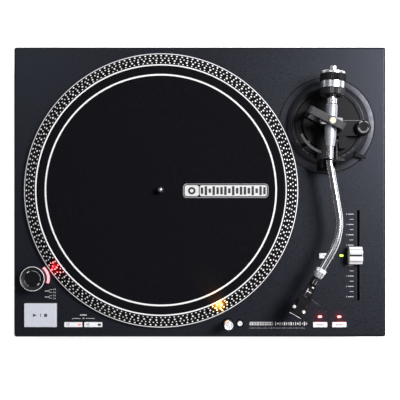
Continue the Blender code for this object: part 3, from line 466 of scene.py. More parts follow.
def block(name, low, high, look, matrix=None, edge=0.0004, segments=3):
    bm = bmesh.new()
    cube(bm, low, high)
    bmesh.ops.bevel(bm, geom=bm.edges[:], offset=edge, segments=segments, profile=0.5, affect="EDGES")
    return from_bmesh(name, bm, [look], matrix, 50.0)


def plate(name, outline, low, high, look, matrix=None, edge=0.0003, segments=2):
    """A flat piece with rounded rims, from its outline in its own XY."""
    bm = bmesh.new()
    floor, roof = ([bm.verts.new((x, y, height)) for x, y in outline] for height in (low, high))
    bm.faces.new(floor[::-1])
    bm.faces.new(roof)
    for k in range(len(outline)):
        n = (k + 1) % len(outline)
        bm.faces.new([floor[k], floor[n], roof[n], roof[k]])
    bmesh.ops.recalc_face_normals(bm, faces=bm.faces[:])
    if edge:
        rim = [e for e in bm.edges if abs(e.verts[0].co.z - e.verts[1].co.z) < 1e-9]
        bmesh.ops.bevel(bm, geom=rim, offset=edge, segments=segments, profile=0.5, affect="EDGES")
    return from_bmesh(name, bm, [look], matrix, 50.0)


def tube(name, points, radius, look, matrix=None, roundness=6):
    curve = bpy.data.curves.new(name, "CURVE")
    curve.dimensions = "3D"
    curve.bevel_depth = radius
    curve.bevel_resolution = roundness
    curve.use_fill_caps = True
    spline = curve.splines.new("POLY")
    spline.points.add(len(points) - 1)
    for point, position in zip(spline.points, points):
        point.co = (*position, 1.0)
    return from_curve(name, curve, look, matrix)


def numerals(name, words, size, look, matrix=None, thickness=0.00008):
    """Printed numbers, as one mesh: words are (text, x, y)."""
    bm = bmesh.new()
    for text, x, y in words:
        curve = bpy.data.curves.new(name, "FONT")
        curve.body = text
        curve.size = size
        curve.align_x, curve.align_y = "CENTER", "CENTER"
        curve.extrude = thickness / 2
        curve.resolution_u = 3
        shape = from_curve(name + "_part", curve, look, shift=Vector((x, y, 0)))
        bm.from_mesh(shape.data)
        bpy.data.objects.remove(shape)
    return from_bmesh(name, bm, [look], matrix)


def radial(radius, angles, width, height):
    """Bars for marks(), set round a circle at angles in degrees."""
    turns = [math.radians(degrees) for degrees in angles]
    return [(radius * math.cos(a), radius * math.sin(a), width, height, a) for a in turns]


def marks(name, bars, look, matrix=None, thickness=0.00008):
    """Printed bars, as one mesh: each is (x, y, width, height) or has an angle after them."""
    bm = bmesh.new()
    for x, y, width, height, *angle in bars:
        turn = Matrix.Translation((x, y, 0)) @ Matrix.Rotation(angle[0] if angle else 0.0, 4, "Z")
        half = Vector((width, height, thickness)) / 2
        cube(bm, -half, half, turn)
    return from_bmesh(name, bm, [look], matrix)


def cut(obj, cutter):
    """Takes the cutter out of a piece, for good."""
    boolean = obj.modifiers.new("cut", "BOOLEAN")
    boolean.operation = "DIFFERENCE"
    boolean.solver = "EXACT"
    boolean.object = cutter
    obj.modifiers.move(len(obj.modifiers) - 1, 0)
    bpy.context.view_layer.update()
    evaluated = obj.evaluated_get(bpy.context.evaluated_depsgraph_get())
    mesh = bpy.data.meshes.new_from_object(evaluated)
    obj.modifiers.clear()
    obj.data = mesh
    mesh.set_sharp_from_angle(angle=math.radians(35))
    bpy.data.objects.remove(cutter)
    return weigh_normals(obj)


def own(obj, body, slot, *stands_for):
    """The piece rides on a body and stands for CAD nodes, which are hidden. Its slot is not used."""
    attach(obj, body)
    if stands_for:
        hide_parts(*stands_for)
    return obj


def keep(node, look, edge=0.0004, segments=2):
    """A CAD node that stays: its facets are smoothed, its corners rounded and its material set."""
    obj = NODES[node]
    obj.data.materials.clear()
    obj.data.materials.append(M[look].material)
    obj.data.shade_smooth()
    obj.modifiers.new("weld", "WELD").merge_threshold = 0.000002
    flat = obj.modifiers.new("flat", "DECIMATE")
    flat.decimate_type = "DISSOLVE"
    flat.angle_limit = math.radians(1.0)
    if edge:
        bevel = obj.modifiers.new("bevel", "BEVEL")
        bevel.width = edge
        bevel.segments = segments
        bevel.limit_method = "ANGLE"
        bevel.angle_limit = math.radians(40)
    obj.modifiers.new("split", "EDGE_SPLIT").split_angle = math.radians(35)
    obj.modifiers.new("weighted", "WEIGHTED_NORMAL").weight = 100


def span(node, origin, axis):
    """How far a node reaches along an axis from a point: (nearest, furthest)."""
    reach = [(v.co - origin).dot(axis) for v in NODES[node].data.vertices]
    return min(reach), max(reach)


def arc(radius, start, end, count, centre=(0.0, 0.0)):
    """Points of an arc, its angles in degrees."""
    angles = [math.radians(start + (end - start) * k / (count - 1)) for k in range(count)]
    return [(centre[0] + radius * math.cos(a), centre[1] + radius * math.sin(a)) for a in angles]


def rounded(width, height, radius, count=6, centre=(0.0, 0.0)):
    """Outline of a rectangle with round corners."""
    x, y = width / 2 - radius, height / 2 - radius
    points = []
    for sign_x, sign_y, start in ((1, 1, 0), (-1, 1, 90), (-1, -1, 180), (1, -1, 270)):
        corner = (centre[0] + sign_x * x, centre[1] + sign_y * y)
        points += arc(radius, start, start + 90, count, corner)
    return points


def smooth_line(points, steps=6):
    """A Catmull-Rom curve through the points of a profile."""
    line = []
    for i in range(len(points) - 1):
        p = [Vector(points[max(0, min(len(points) - 1, i + k))]) for k in (-1, 0, 1, 2)]
        for s in range(steps):
            t = s / steps
            line.append(tuple(0.5 * (2 * p[1] + (p[2] - p[0]) * t
                                     + (2 * p[0] - 5 * p[1] + 4 * p[2] - p[3]) * t * t
                                     + (3 * p[1] - p[0] - 3 * p[2] + p[3]) * t ** 3)))
    return line + [tuple(points[-1])]


# ---- camera, light and floor --------------------------------------------------------------------
def make_camera():
    data = bpy.data.cameras.new("camera")
    data.sensor_width, data.lens, data.shift_y = 36.0, 85.08, 0.0875
    camera = show(bpy.data.objects.new("camera", data))
    camera.location = (0.0002, -0.0524, 1.240)
    bpy.context.scene.camera = camera


def light(kind, name, at, power, colour, target=None, **settings):
    data = bpy.data.lights.new(name, kind)
    data.energy, data.color = power, colour
    for key, value in settings.items():
        setattr(data, key, value)
    lamp = show(bpy.data.objects.new(name, data))
    lamp.location = at
    if target is not None:
        lamp.rotation_euler = (Vector(target) - Vector(at)).to_track_quat("-Z", "Y").to_euler()


def make_studio():
    bpy.context.scene.view_settings.view_transform = "Standard"
    world = bpy.data.worlds.new("studio")
    world.use_nodes = True
    background = world.node_tree.nodes["Background"].inputs
    background["Color"].default_value = (0.95, 0.96, 1.0, 1.0)
    background["Strength"].default_value = 0.10
    bpy.context.scene.world = world
    light("AREA", "key", (1.05, 0.44, 1.60), 52.0, (1.0, 0.985, 1.0), (0.10, 0.05, 0.09), size=0.70)
    light("AREA", "fill", (-0.62, 0.62, 1.50), 2.5, (0.96, 0.97, 1.0), (-0.05, 0.05, 0.09), size=0.55)
    light("AREA", "strip", (-0.10, -0.95, 1.25), 1.6, (1.0, 1.0, 1.0), (0.0, 0.0, 0.10), size=0.20,
          shape="RECTANGLE", size_y=1.2)
    floor = bpy.data.meshes.new("floor")
    reach = 6.0
    corners = [(x * reach, y * reach, 0) for x, y in ((-1, -1), (1, -1), (1, 1), (-1, 1))]
    floor.from_pydata(corners, [], [(0, 1, 2, 3)])
    stage = show(bpy.data.objects.new("floor", floor))
    paper = Finish("paper", (0.9, 0.9, 0.9), 0.9)
    paper.shade(0.02, 3.0)
    paper.shader.inputs["Emission Color"].default_value = (1.0, 1.0, 1.0, 1.0)
    paper.shader.inputs["Emission Strength"].default_value = 0.85
    floor.materials.append(paper.material)


# ---- platter and mat ----------------------------------------------------------------------------
BORE = 0.0039
LIP_OUTER = 0.1512                              # polished ring round the mat
BEVEL_TOP, BEVEL_FOOT = (0.1514, 0.0151), (0.1648, 0.0067)
DOT_ROWS = ((0.1531, 180, 0.00090), (0.1563, 133, 0.00124), (0.1594, 216, 0.00090), (0.1628, 160, 0.00114))


def make_platter():
    seat = MAT_LOW - DECK - GAP
    edge = PLATTER_RADIUS
    own(lathe("platter_disc", [
        ("matt_black", [(BORE, seat), (0.1488, seat), (0.1491, seat + 0.0003), (0.1495, 0.0150)]),
        ("lip", [(0.1500, 0.0156), (LIP_OUTER - 0.0004, 0.0156), (LIP_OUTER - 0.0001, 0.0154)]),
        ("bevel", [(LIP_OUTER, 0.0153), BEVEL_TOP, BEVEL_FOOT]),
        ("lip", [(0.1651, 0.0065), (0.1656, 0.0063)]),
        ("cast", [(edge - 0.0002, 0.0062), (edge, 0.0060), (edge, 0.0045), (edge - 0.0004, 0.0040),
                  (0.1595, 0.0040), (0.1580, 0.0100), (0.0640, 0.0095), (0.0600, 0.0025), (BORE, 0.0025)]),
    ], upright(HUB), 240, closed=True), "platter", "platter_metal", "platter")

    bm = bmesh.new()
    fall = (BEVEL_FOOT[1] - BEVEL_TOP[1]) / (BEVEL_FOOT[0] - BEVEL_TOP[0])
    outward = Vector((1, 0, fall)).normalized()
    normal = Vector((-fall, 0, 1)).normalized()
    sides, sunk, rim, crown = 10, -0.0002, 0.00016, 0.00024
    for radius, count, size in DOT_ROWS:
        height = BEVEL_TOP[1] + fall * (radius - BEVEL_TOP[0])
        for k in range(count):
            turn = Matrix.Rotation(math.tau * k / count, 3, "Z")
            centre = Vector((radius, 0, height))

            def ring(share, lift):
                verts = []
                for i in range(sides):
                    a = math.tau * i / sides
                    spoke = outward * math.cos(a) + Vector((0, math.sin(a), 0))
                    verts.append(bm.verts.new(turn @ (centre + normal * lift + size * share * spoke)))
                return verts

            low, high = ring(1.0, sunk), ring(0.92, rim)
            top = bm.verts.new(turn @ (centre + normal * crown))
            bm.faces.new(low[::-1])
            for i in range(sides):
                n = (i + 1) % sides
                bm.faces.new([low[i], low[n], high[n], high[i]])
                bm.faces.new([high[i], high[n], top])
    own(from_bmesh("platter_dots", bm, ["dot"], upright(HUB), 60.0), "platter", "platter_metal")


def make_mat():
    thick = MAT_TOP - MAT_LOW
    rings, steps = 26, 160
    bm = bmesh.new()
    radii = [BORE + (MAT_RADIUS - 0.0008 - BORE) * i / (rings - 1) for i in range(rings)]
    rim = [(MAT_RADIUS - 0.0003, thick * 0.92), (MAT_RADIUS, thick * 0.6), (MAT_RADIUS, thick * 0.25),
           (MAT_RADIUS - 0.0004, 0.0)]
    profile = [(r, thick) for r in radii] + rim + [(BORE, 0.0)]
    grid = []
    for index, (radius, height) in enumerate(profile):
        row = []
        for k in range(steps):
            a = math.tau * k / steps
            x, y = radius * math.cos(a), radius * math.sin(a)
            lie = 0.0
            if 2 < index < rings:
                lie = 0.00010 * (math.sin(38 * x + 21 * y) + math.sin(57 * y - 17 * x + 1.3))
            row.append(bm.verts.new((x, y, height + lie)))
        grid.append(row)
    for a, b in zip(grid, grid[1:] + grid[:1]):
        for k in range(steps):
            n = (k + 1) % steps
            bm.faces.new([a[k], a[n], b[n], b[k]])
    centre = Vector((HUB.x, HUB.y, MAT_LOW))
    mat = from_bmesh("felt_mat", bm, ["felt"], upright(centre), 60.0)
    own(mat, "slipmat", "felt", "slipmat")

    # generic printed badge: a rounded frame with sound-level bars, in place of any name
    middle_x, middle_y, width, height = 0.0311, 0.0007, 0.1025, 0.0172
    on_mat = upright(centre + Vector((middle_x - HUB.x, middle_y - HUB.y, thick + 0.00022)))
    badge("mat_badge", on_mat, width, height, 0.0010, 17, "slipmat")

    tip, low = rise("spindle"), -0.002
    radius = 0.003575                           # the usual record spindle
    own(lathe("spindle_pin", [
        ("steel", [(0, tip), (0.0012, tip - 0.0002), (0.0022, tip - 0.0008), (0.0030, tip - 0.0020),
                   (radius - 0.0001, tip - 0.0042), (radius, tip - 0.0052), (radius, 0.0022),
                   (0.0178, 0.0022), (0.0180, 0.0020), (0.0180, -0.0018), (0.0178, low), (0, low)]),
    ], upright(HUB), 48), "platter", "steel")


# ---- controls on the left and at the front ------------------------------------------------------
def make_strobe():
    centre = on_deck("power_knob")
    here = upright(centre)
    top = rise("strobe_tower")
    radius = half_width("power_knob")
    own(lathe("strobe_tower_body", [
        ("black", [(0, 0.0045), (0.0045, 0.0045), (0.0045, top), (radius - 0.0006, top),
                   (radius, top - 0.0006), (radius, 0.0009), (radius + 0.0002, 0.0003), (0.0104, 0.0003),
                   (0.0104, -0.012), (0, -0.012)])], here, 72), "plinth", "black_plastic", "strobe_tower")

    knob_top = rise("power_knob")
    foot = top + GAP
    own(lathe("power_knob_cap", [
        ("matt_black", [(0, knob_top - 0.0012), (0.0092, knob_top - 0.0012)]),
        ("black", [(0.0098, knob_top - 0.0016), (0.0104, knob_top - 0.0012), (0.0126, knob_top - 0.0009)]),
        ("black", [(0.0137, knob_top - 0.0003), (0.0141, knob_top)]),
        ("lip", [(0.01425, knob_top), (0.0147, knob_top - 0.0004)]),
        ("black", [(radius, knob_top - 0.0012), (radius, foot + 0.0004), (radius - 0.0004, foot),
                   (0.0042, foot), (0.0042, foot - 0.005), (0, foot - 0.005)]),
    ], here, 144, ribs={4: (48, 0.00035)}), "power_knob", "dark_metal", "power_knob")
    knob_face = upright(centre + UP * (knob_top - 0.0012))
    ring, sweep = 0.0096, []
    for start, end, count in ((-12, 92, 26), (196, 238, 12)):
        angles = [start + (end - start) * (k + 0.5) / count for k in range(count)]
        sweep += radial(ring, angles, 0.00055, 0.0010)
    sweep += radial(ring, (122, -42), 0.0011, 0.0034)
    own(marks("power_knob_marks", sweep, "scale", knob_face, 0.0002), "power_knob", "print_white")

    glass_top = rise("strobe_window")
    inner, outer = radius + GAP, 0.0184
    outline = arc(outer, -19, 49, 22) + arc(inner, 49, -19, 22)
    own(plate("strobe_lens", outline, 0.0003, glass_top, "red_lens", here, 0.0006, 3),
        "plinth", "red_window", "strobe_window")
    own(plate("strobe_hood", arc(inner + 0.0009, -17, 47, 22) + arc(inner + 0.0001, 47, -17, 22),
              glass_top - 0.0005, glass_top + 0.0007, "black", here, 0.0002), "plinth", "black_plastic")
    angle = math.radians(26)
    aim = Vector((math.cos(angle), math.sin(angle), 0))
    light("SPOT", "strobe_glow", centre + aim * 0.0175 + UP * 0.0135, 0.075, (1.0, 0.012, 0.02),
          centre + aim * 0.0325 + UP * 0.0100,
          spot_size=math.radians(96), shadow_soft_size=0.001, spot_blend=0.9)


def make_buttons():
    for node in ("start_button", "button_33", "button_45", "reverse_button", "range_button", "reset_button"):
        low, high = box(node)
        edge = 0.0009 if node == "start_button" else 0.0006
        own(block(node + "_cap", low, high, "grey" if node == "start_button" else "silver", edge=edge),
            node, "button_grey", node)
        wide, deep = (high.x - low.x) / 2 + 0.0006, (high.y - low.y) / 2 + 0.0006
        surround = plate(node + "_surround", rounded(2 * wide + 0.0016, 2 * deep + 0.0016, 0.0010, 4), 0.0,
                         0.00045, "black", upright(on_deck(node)), 0.0001)
        cut(surround, plate("room", rounded(2 * wide, 2 * deep, 0.0006, 4), -0.001, 0.01, "black",
                            upright(on_deck(node)), 0))
        own(surround, "plinth", "black_plastic")

    def face(node):
        centre = middle(node)
        centre.z = box(node)[1].z + 0.00003
        return upright(centre)

    # start and stop: the usual triangle, bar and square
    stop = [(0.0004, 0, 0.0008, 0.0040), (0.0066, 0, 0.0036, 0.0036)]
    own(marks("start_mark", stop, "dark_print", face("start_button")), "start_button", "black_plastic")
    own(plate("start_triangle", [(-0.0088, -0.0021), (-0.0042, 0.0), (-0.0088, 0.0021)], -0.00004,
              0.00004, "dark_print", face("start_button"), 0), "start_button", "black_plastic")
    for node, number in (("button_33", "33"), ("button_45", "45")):
        own(numerals(node + "_number", [(number, -0.0064, 0.0)], 0.0046, "ink", face(node)),
            node, "black_plastic")
        own(block(node + "_lamp", (0.0058, -0.0013, -0.0008), (0.0096, 0.0013, 0.00016),
                  "pink_led" if node == "button_33" else "ink", face(node), 0.0002), node, "red_window")
    for node in ("reverse_button", "range_button", "reset_button"):
        dashes = [(-0.0036 + 0.0018 * k, 0, 0.0012, 0.0011) for k in range(5)]
        own(marks(node + "_mark", dashes, "dark_print", face(node)), node, "black_plastic")


def make_indicators():
    """Signal lamps beside the right-hand buttons."""
    behind_button = Vector((0, 0.0097, 0))
    beside_button = Vector((0.0187, 0.0003, 0))
    for node, shift, look in (("reverse_button", behind_button, "red_led"),
                              ("range_button", behind_button, "red_led"),
                              ("reset_button", beside_button, "green_led")):
        here = upright(on_deck(node) + shift)
        own(plate(node + "_lamp_rim", rounded(0.0066, 0.0042, 0.0018, 6), 0.0, 0.0003, "black", here, 0.0001),
            "plinth", "black_plastic")
        lens = plate(node + "_lamp_lens", rounded(0.0050, 0.0027, 0.0013, 8), 0.0001, 0.0011, look, here,
                     0.0005, 4)
        red = look == "red_led"
        own(lens, "plinth", "red_window" if red else "lamp_green")
        power, tint = (0.0080, (1.0, 0.03, 0.03)) if red else (0.0002, (0.55, 1.0, 0.05))
        above = on_deck(node) + shift + UP * 0.0030
        light("POINT", node + "_glow", above, power, tint, shadow_soft_size=0.0012)


def make_target_lamp():
    centre = on_deck("target_lamp")
    radius = half_width("target_lamp")
    top, foot = rise("target_lamp"), box("target_lamp")[0].z - DECK
    body = lathe("lamp_stem", [
        ("bright", [(0, top - 0.0004), (0.0024, top - 0.0003), (0.0030, top - 0.0008), (0.0036, top - 0.0002),
                    (radius - 0.0006, top), (radius - 0.0001, top - 0.0005), (radius, top - 0.0012)]),
        ("satin", [(radius, top - 0.0130), (radius - 0.0003, top - 0.0133), (radius - 0.0003, top - 0.0140),
                   (radius, top - 0.0143), (radius, foot + 0.0004), (radius - 0.0004, foot), (0, foot)]),
    ], upright(centre), 64)
    window_turn = math.radians(22)
    facing = upright(centre, window_turn)
    window_room = block("window_room", (-0.0028, 0.0030, top - 0.0115), (0.0028, 0.0100, top - 0.0035), "pit",
                        facing, 0.0003)
    own(cut(body, window_room), "target_lamp", "dark_metal", "target_lamp")
    own(block("lamp_lens", (-0.0027, 0.0026, top - 0.0114), (0.0027, 0.0045, top - 0.0036), "amber",
              facing, 0.0004), "target_lamp", "red_window")
    aim = Vector((-0.0110, 0.0235, DECK + 0.0125 - centre.z))
    light("SPOT", "lamp_glow", centre + Vector((-0.0023, 0.0057, top - 0.0060)), 0.55, (1.0, 0.36, 0.05),
          centre + aim, spot_size=math.radians(58), shadow_soft_size=0.0015, spot_blend=1.0)

    wide = half_width("lamp_button")
    high, depth = rise("lamp_button"), box("lamp_button")[0].z - DECK
    own(lathe("lamp_button_cap", [
        ("bright", [(0, high - 0.0003), (0.0016, high - 0.0002), (0.0022, high),
                    (wide - 0.0005, high - 0.0002), (wide, high - 0.0008), (wide, 0.0)]),
        ("satin", [(wide, depth), (0, depth)])], upright(on_deck("lamp_button")), 48),
        "lamp_button", "dark_metal", "lamp_button")
    for name, at, inner in (("lamp_button_collar", on_deck("lamp_button"), wide + GAP),
                            ("lamp_collar", centre, radius + GAP)):
        own(lathe(name, [("matt_black", [(inner, 0.0), (inner, 0.0007), (inner + 0.0003, 0.0010),
                                         (inner + 0.0012, 0.0010), (inner + 0.0016, 0.0006),
                                         (inner + 0.0018, 0.0)])], upright(at), 64, closed=True),
            "plinth", "black_plastic")


def make_fader():
    slot = middle("fader_body")
    low, high = box("fader_knob")
    centre = on_deck("fader_knob")
    half_x, half_y = (high.x - low.x) / 2 - 0.0007, (high.y - low.y) / 2
    top, foot = high.z - DECK, 0.0012
    side = upright(centre) @ Matrix.Rotation(math.pi / 2, 4, "Z") @ Matrix.Rotation(math.pi / 2, 4, "X")
    ridge, valley = half_y * 0.50, 0.0011
    half_profile = [(half_y, foot), (half_y, foot + 0.0100), (half_y - 0.0007, foot + 0.0108),
                    (ridge + 0.0010, top - 0.0026), (ridge + 0.0008, top - 0.0006), (ridge, top - 0.0003),
                    (ridge - 0.0016, top), (0.0026, top - 0.0004), (valley, top - 0.0017),
                    (valley, top - 0.0026)]
    outline = half_profile + [(-x, y) for x, y in half_profile[::-1]]
    own(plate("fader_cap", outline, -half_x, half_x, "white", side, 0.0006, 3),
        "fader_knob", "white_plastic", "fader_knob")
    own(block("fader_line", (-half_x + 0.0006, -valley + 0.0001, top - 0.0030),
              (half_x - 0.0006, valley - 0.0001, top - 0.0021), "pit", upright(centre), 0.0001, 1),
        "fader_knob", "black_plastic")
    # grey strips painted as the shade of grooves; the cap itself has no groove cut here
    for sign, end in ((-1, "front"), (1, "rear")):
        y = sign * (ridge + 0.0021)
        own(block("fader_painted_shade_" + end, (-half_x + 0.0002, y - 0.00045, top - 0.0044),
                  (half_x - 0.0002, y + 0.00045, top - 0.0026), "shade", upright(centre), 0.0001, 1),
            "fader_knob", "white_plastic")
    stem_x = slot.x - centre.x
    own(block("fader_stem", (stem_x - 0.001, -0.003, -0.0150), (stem_x + 0.001, 0.003, foot + 0.001),
              "steel", upright(centre), 0.0002), "fader_knob", "steel")

    scale = upright(Vector((slot.x, centre.y, DECK + PRINT_LIFT)))
    step, bars, words = 0.01255, [], []
    for k in range(-4, 5):
        if k:
            bars.append((-0.0093, step * k, 0.0068, 0.00085))
            words.append((str(abs(k) * 2), -0.0143, step * k))
        half_step = step * (k + 0.5)
        if k < 4 and k not in (-1, 0):
            bars.append((-0.0083, half_step, 0.0046, 0.0006))
    own(marks("fader_scale", bars, "scale", scale), "plinth", "print_white")
    own(numerals("fader_numbers", words, 0.0026, "scale", scale), "plinth", "print_white")


def make_deck_prints():
    """Printed guides on the deck: brackets, numbers and plain bars only."""
    on_top = upright(Vector((0, 0, DECK + PRINT_LIFT)))
    thin = 0.00045
    bars, words = [], []
    corner = on_deck("power_knob") + Vector((0.0122, -0.0155, 0))
    for row in range(2):
        y = corner.y - 0.0073 * row
        bars.append((corner.x + 0.0018, y, 0.0038, 0.0008))
        for sign in (-1, 1):
            bars.append((corner.x + 0.0051, y + sign * 0.0008, 0.0027, thin, sign * 0.68))
            bars.append((corner.x + 0.0075, y + sign * 0.0017, 0.0022, thin))
            words.append(("6" if sign > 0 else "5", corner.x + 0.0103, y + sign * 0.0018))
            words.append(("0", corner.x + 0.0124, y + sign * 0.0018))
    own(marks("strobe_guide", bars, "print", on_top), "plinth", "print_white")
    own(numerals("strobe_numbers", words, 0.0026, "print", on_top), "plinth", "print_white")

    left, right = middle("button_33"), middle("button_45")
    y = left.y + 0.0074
    centre = (left.x + right.x) / 2
    halves = ((-1, (left.x + centre) / 2), (1, (right.x + centre) / 2))
    bracket = [(x + sign * 0.0022, y, 0.0105, thin) for sign, x in halves]
    bracket += [(x + sign * 0.0072, y - 0.0006, thin, 0.0014) for sign, x in halves]
    bracket += [(centre - 0.0034 + 0.0017 * k, y + 0.0042, 0.0011, 0.0014) for k in range(5)]
    own(marks("speed_guide", bracket, "print", on_top), "plinth", "print_white")
    own(numerals("speed_number", [("78", centre, y)], 0.0026, "print", on_top), "plinth", "print_white")

    # a plain pattern where a maker would print a name
    start = on_deck("lamp_button") + Vector((0.0113, -0.0002, PRINT_LIFT))
    badge("front_badge", upright(start + Vector((0.0146, 0, 0))), 0.0290, 0.0048, 0.0004, 11, "plinth")
    rows = [(0.0322 + 0.0027 * k, 0.0, 0.0009 + 0.0008 * (k % 3 == 1),
             0.0018 + 0.0026 * abs(math.cos(1.7 * k))) for k in range(15)]
    own(marks("front_pattern", rows, "print", upright(start)), "plinth", "print_white")
    dots = [(0.0006 + 0.0019 * k, -0.0054, 0.0011, 0.0007 + 0.0007 * (k % 4 == 2)) for k in range(36)]
    own(marks("front_pattern_line", dots, "dim_print", upright(start)), "plinth", "print_white")


def badge(name, matrix, width, height, line, count, body):
    """A rounded printed frame round a disc and sound-level bars: a plain stand-in for a name."""
    corner, gap = height * 0.26, line * 2.0
    border = plate(name + "_frame", rounded(width, height, corner, 8), 0.0, 0.00010, "dim_print", matrix, 0)
    room = rounded(width - 2 * line, height - 2 * line, corner - line / 2, 8)
    cut(border, plate("badge_room", room, -0.001, 0.002, "dim_print", matrix, 0))
    own(border, body, "print_white")
    tall = height - 2 * gap
    split, left, right = -width / 2 + gap + tall * 1.28, -width / 2 + gap, width / 2 - gap
    for part, low, high in (("square", left, split), ("field", split + line, right)):
        field = rounded(high - low, tall, corner * 0.6, 6, ((low + high) / 2, 0.0))
        own(plate(f"{name}_{part}", field, 0.0, 0.00012, "print", matrix, 0), body, "print_white")
    inner, outer = tall * 0.16, tall * 0.34
    own(lathe(name + "_disc", band("ink", inner, outer, 0.0001, 0.00018),
              matrix @ Matrix.Translation(((left + split) / 2, 0, 0)), 40, closed=True),
        body, "black_plastic")
    pitch, bars = (right - split - 2 * line) / count, []
    for k in range(count):
        level = 0.36 + 0.46 * abs(math.sin(1.3 * k + 0.5))
        bars.append((split + 1.5 * line + pitch * (k + 0.5), 0.0, pitch * 0.62, tall * level))
    over = matrix @ Matrix.Translation((0, 0, 0.00013))
    own(marks(name + "_bars", bars, "ink", over, 0.0001), body, "black_plastic")


# ---- tonearm base and what stands on it ---------------------------------------------------------
ARM_BEHIND = place(PIVOT, REAR)                 # own Z to the rear, own Y up
HEAD_ANGLE = math.atan2(HEAD.y, HEAD.x)
HEAD_FLAT = upright(PLUG, HEAD_ANGLE)           # own X to the front of the head, own Y aside
ON_PIVOT = upright(Vector((PIVOT.x, PIVOT.y, DECK)))
YOKE_TURN, SCREW_SLOT_TURN = -26.7, 28          # degrees
HEAD_FRONT = 0.0579                             # front of the headshell, from the plug
SCREW_AT, SCREW_ASIDE = 0.0490, 0.0063          # the cartridge's two screws


def make_arm_base():
    collar = lathe("collar_ring", [("collar", [
        (0.0433, 0.0003), (0.0433, 0.0086), (0.0436, 0.0090), (0.0442, 0.0089)]
        + smooth_line([(0.0450, 0.0084), (0.0475, 0.0064), (0.0500, 0.0036), (0.0535, 0.0023),
                       (0.0572, 0.0014)], 5)
        + [(0.0578, 0.0011), (0.0580, 0.0007), (0.0580, 0.0003)])], ON_PIVOT, 144, closed=True)
    pin = joint_point("height_lock_turn")
    pin.z = DECK
    stem_room = lathe("stem_room", rod("collar", 0.0018, 0.0006, 0.0120), upright(pin), 32)
    own(cut(collar, stem_room), "plinth", "deck_paint", "arm_collar")
    # a black ring painted as the shadow in the gap round the collar's foot
    own(lathe("collar_gap_shadow", [("pit", [(0.0580, 0.0), (0.0580, 0.0006), (0.0587, 0.0006), (0.0589, 0.0)])],
              ON_PIVOT, 144, closed=True), "plinth", "black_plastic")

    own(lathe("height_ring_knurl", [
        ("matt_black", [(0.0393, 0.0003), (0.0393, 0.0085), (0.0396, 0.0088), (0.0404, 0.0088)]),
        ("black", [(0.0409, 0.0083), (0.0415, 0.0083), (0.0420, 0.0088), (0.0427, 0.0088), (0.0430, 0.0085),
                (0.0430, 0.0003)])], ON_PIVOT, 144, closed=True), "height_ring", "dark_metal", "height_ring")
    ticks = radial(0.04235, [-152 + 9.0 * k for k in range(13)], 0.0011, 0.0005)
    ring_top = ON_PIVOT @ Matrix.Translation((0, 0, 0.00884))
    own(marks("height_ticks", ticks, "dim_print", ring_top), "height_ring", "print_white")

    lock = upright(pin, math.radians(-20))
    wedge = [(-0.0038, -0.0034), (0.0100, -0.0014), (0.0100, 0.0014), (-0.0038, 0.0034)]
    own(plate("height_lock_lever", wedge, 0.0064, 0.0090, "matt_black", lock, 0.0005, 3),
        "height_lock", "dark_metal", "height_lock")
    own(lathe("height_lock_stem", rod("steel", 0.0015, 0.0008, 0.0070), lock, 32), "height_lock", "steel")

    keep("arm_base", "base", 0.0004, 3)
    keep("bearing_yoke", "dark", 0.0004, 3)
    # a thin black band painted as the shade of a groove in the arm base's top
    own(lathe("arm_base_groove_shadow", band("pit", 0.0374, 0.0378, 0.0081, 0.00814), ON_PIVOT, 144, closed=True),
        "arm_base", "black_plastic")

    yoke_top = box("bearing_yoke")[1].z
    across = upright(Vector((PIVOT.x, PIVOT.y, yoke_top)), math.radians(YOKE_TURN))
    screw_top = box("pivot_screw")[1].z - yoke_top
    screw = lathe("pivot_screw_head", [("pale_brass", [
        (0, screw_top), (0.0031, screw_top), (0.0036, screw_top - 0.0003), (0.0040, screw_top - 0.0008),
        (0.0040, 0.0006), (0.0037, 0.0003), (0.0022, 0.0003), (0.0022, -0.0048), (0.0016, -0.0055),
        (0, -0.0055)])], across, 48)
    slot_turn = across @ Matrix.Rotation(math.radians(SCREW_SLOT_TURN), 4, "Z")
    slot_room = block("slot_room", (-0.006, -0.00048, screw_top - 0.0009),
                      (0.006, 0.00048, screw_top + 0.002), "pale_brass", slot_turn, 0.0001, 1)
    own(cut(screw, slot_room), "arm_base", "brass", "pivot_screw")
    own(lathe("pivot_lock_ring", [("dark", [(0.00405, 0.0001), (0.00405, 0.0007), (0.0050, 0.0007),
                                            (0.0053, 0.0001)])], across, 48, closed=True),
        "arm_base", "dark_metal")


def make_antiskate():
    keep("antiskate_housing", "base", 0.0005, 3)
    centre = on_deck("antiskate_knob")
    here = upright(centre)
    top, low = rise("antiskate_knob"), rise("antiskate_housing") + GAP
    own(lathe("antiskate_cap", [
        ("matt_black", [(0, top - 0.0002), (0.0062, top - 0.0002)]),
        ("black", [(0.0065, top - 0.0001), (0.0068, top), (0.0072, top - 0.0001)]),
        ("matt_black", [(0.0076, top - 0.0002), (0.0086, top - 0.0006), (0.0089, top - 0.0011)]),
        ("matt_black", [(0.0089, top - 0.0013), (0.0089, low + 0.0004), (0.0086, low), (0.0020, low),
                        (0.0020, low - 0.0035), (0, low - 0.0035)]),
    ], here, 160, ribs={3: (40, 0.00045)}), "antiskate_knob", "dark_metal", "antiskate_knob")
    face = upright(centre + UP * (top - 0.00016))
    ticks = []
    for k in range(13):
        length = 0.0019 if k % 2 == 0 else 0.0012
        ticks += radial(0.0062 - length / 2, [-172 + 13.7 * k], length, 0.0005)
    own(marks("antiskate_ticks", ticks, "scale", face), "antiskate_knob", "print_white")
    for side, start in (("left", 100), ("right", 42)):
        sweep = arc(0.0078, start, start + 38, 14) + arc(0.0073, start + 38, start, 14)
        own(plate("antiskate_mark_" + side, sweep, -0.0001, 0.00025, "scale", face, 0),
            "antiskate_knob", "print_white")
    line = upright(Vector((centre.x, centre.y, box("antiskate_housing")[1].z + 0.00003)))
    own(marks("antiskate_line", [(-0.0130, 0.0092, 0.0300, 0.0004)], "dim_print", line), "arm_base",
        "print_white")


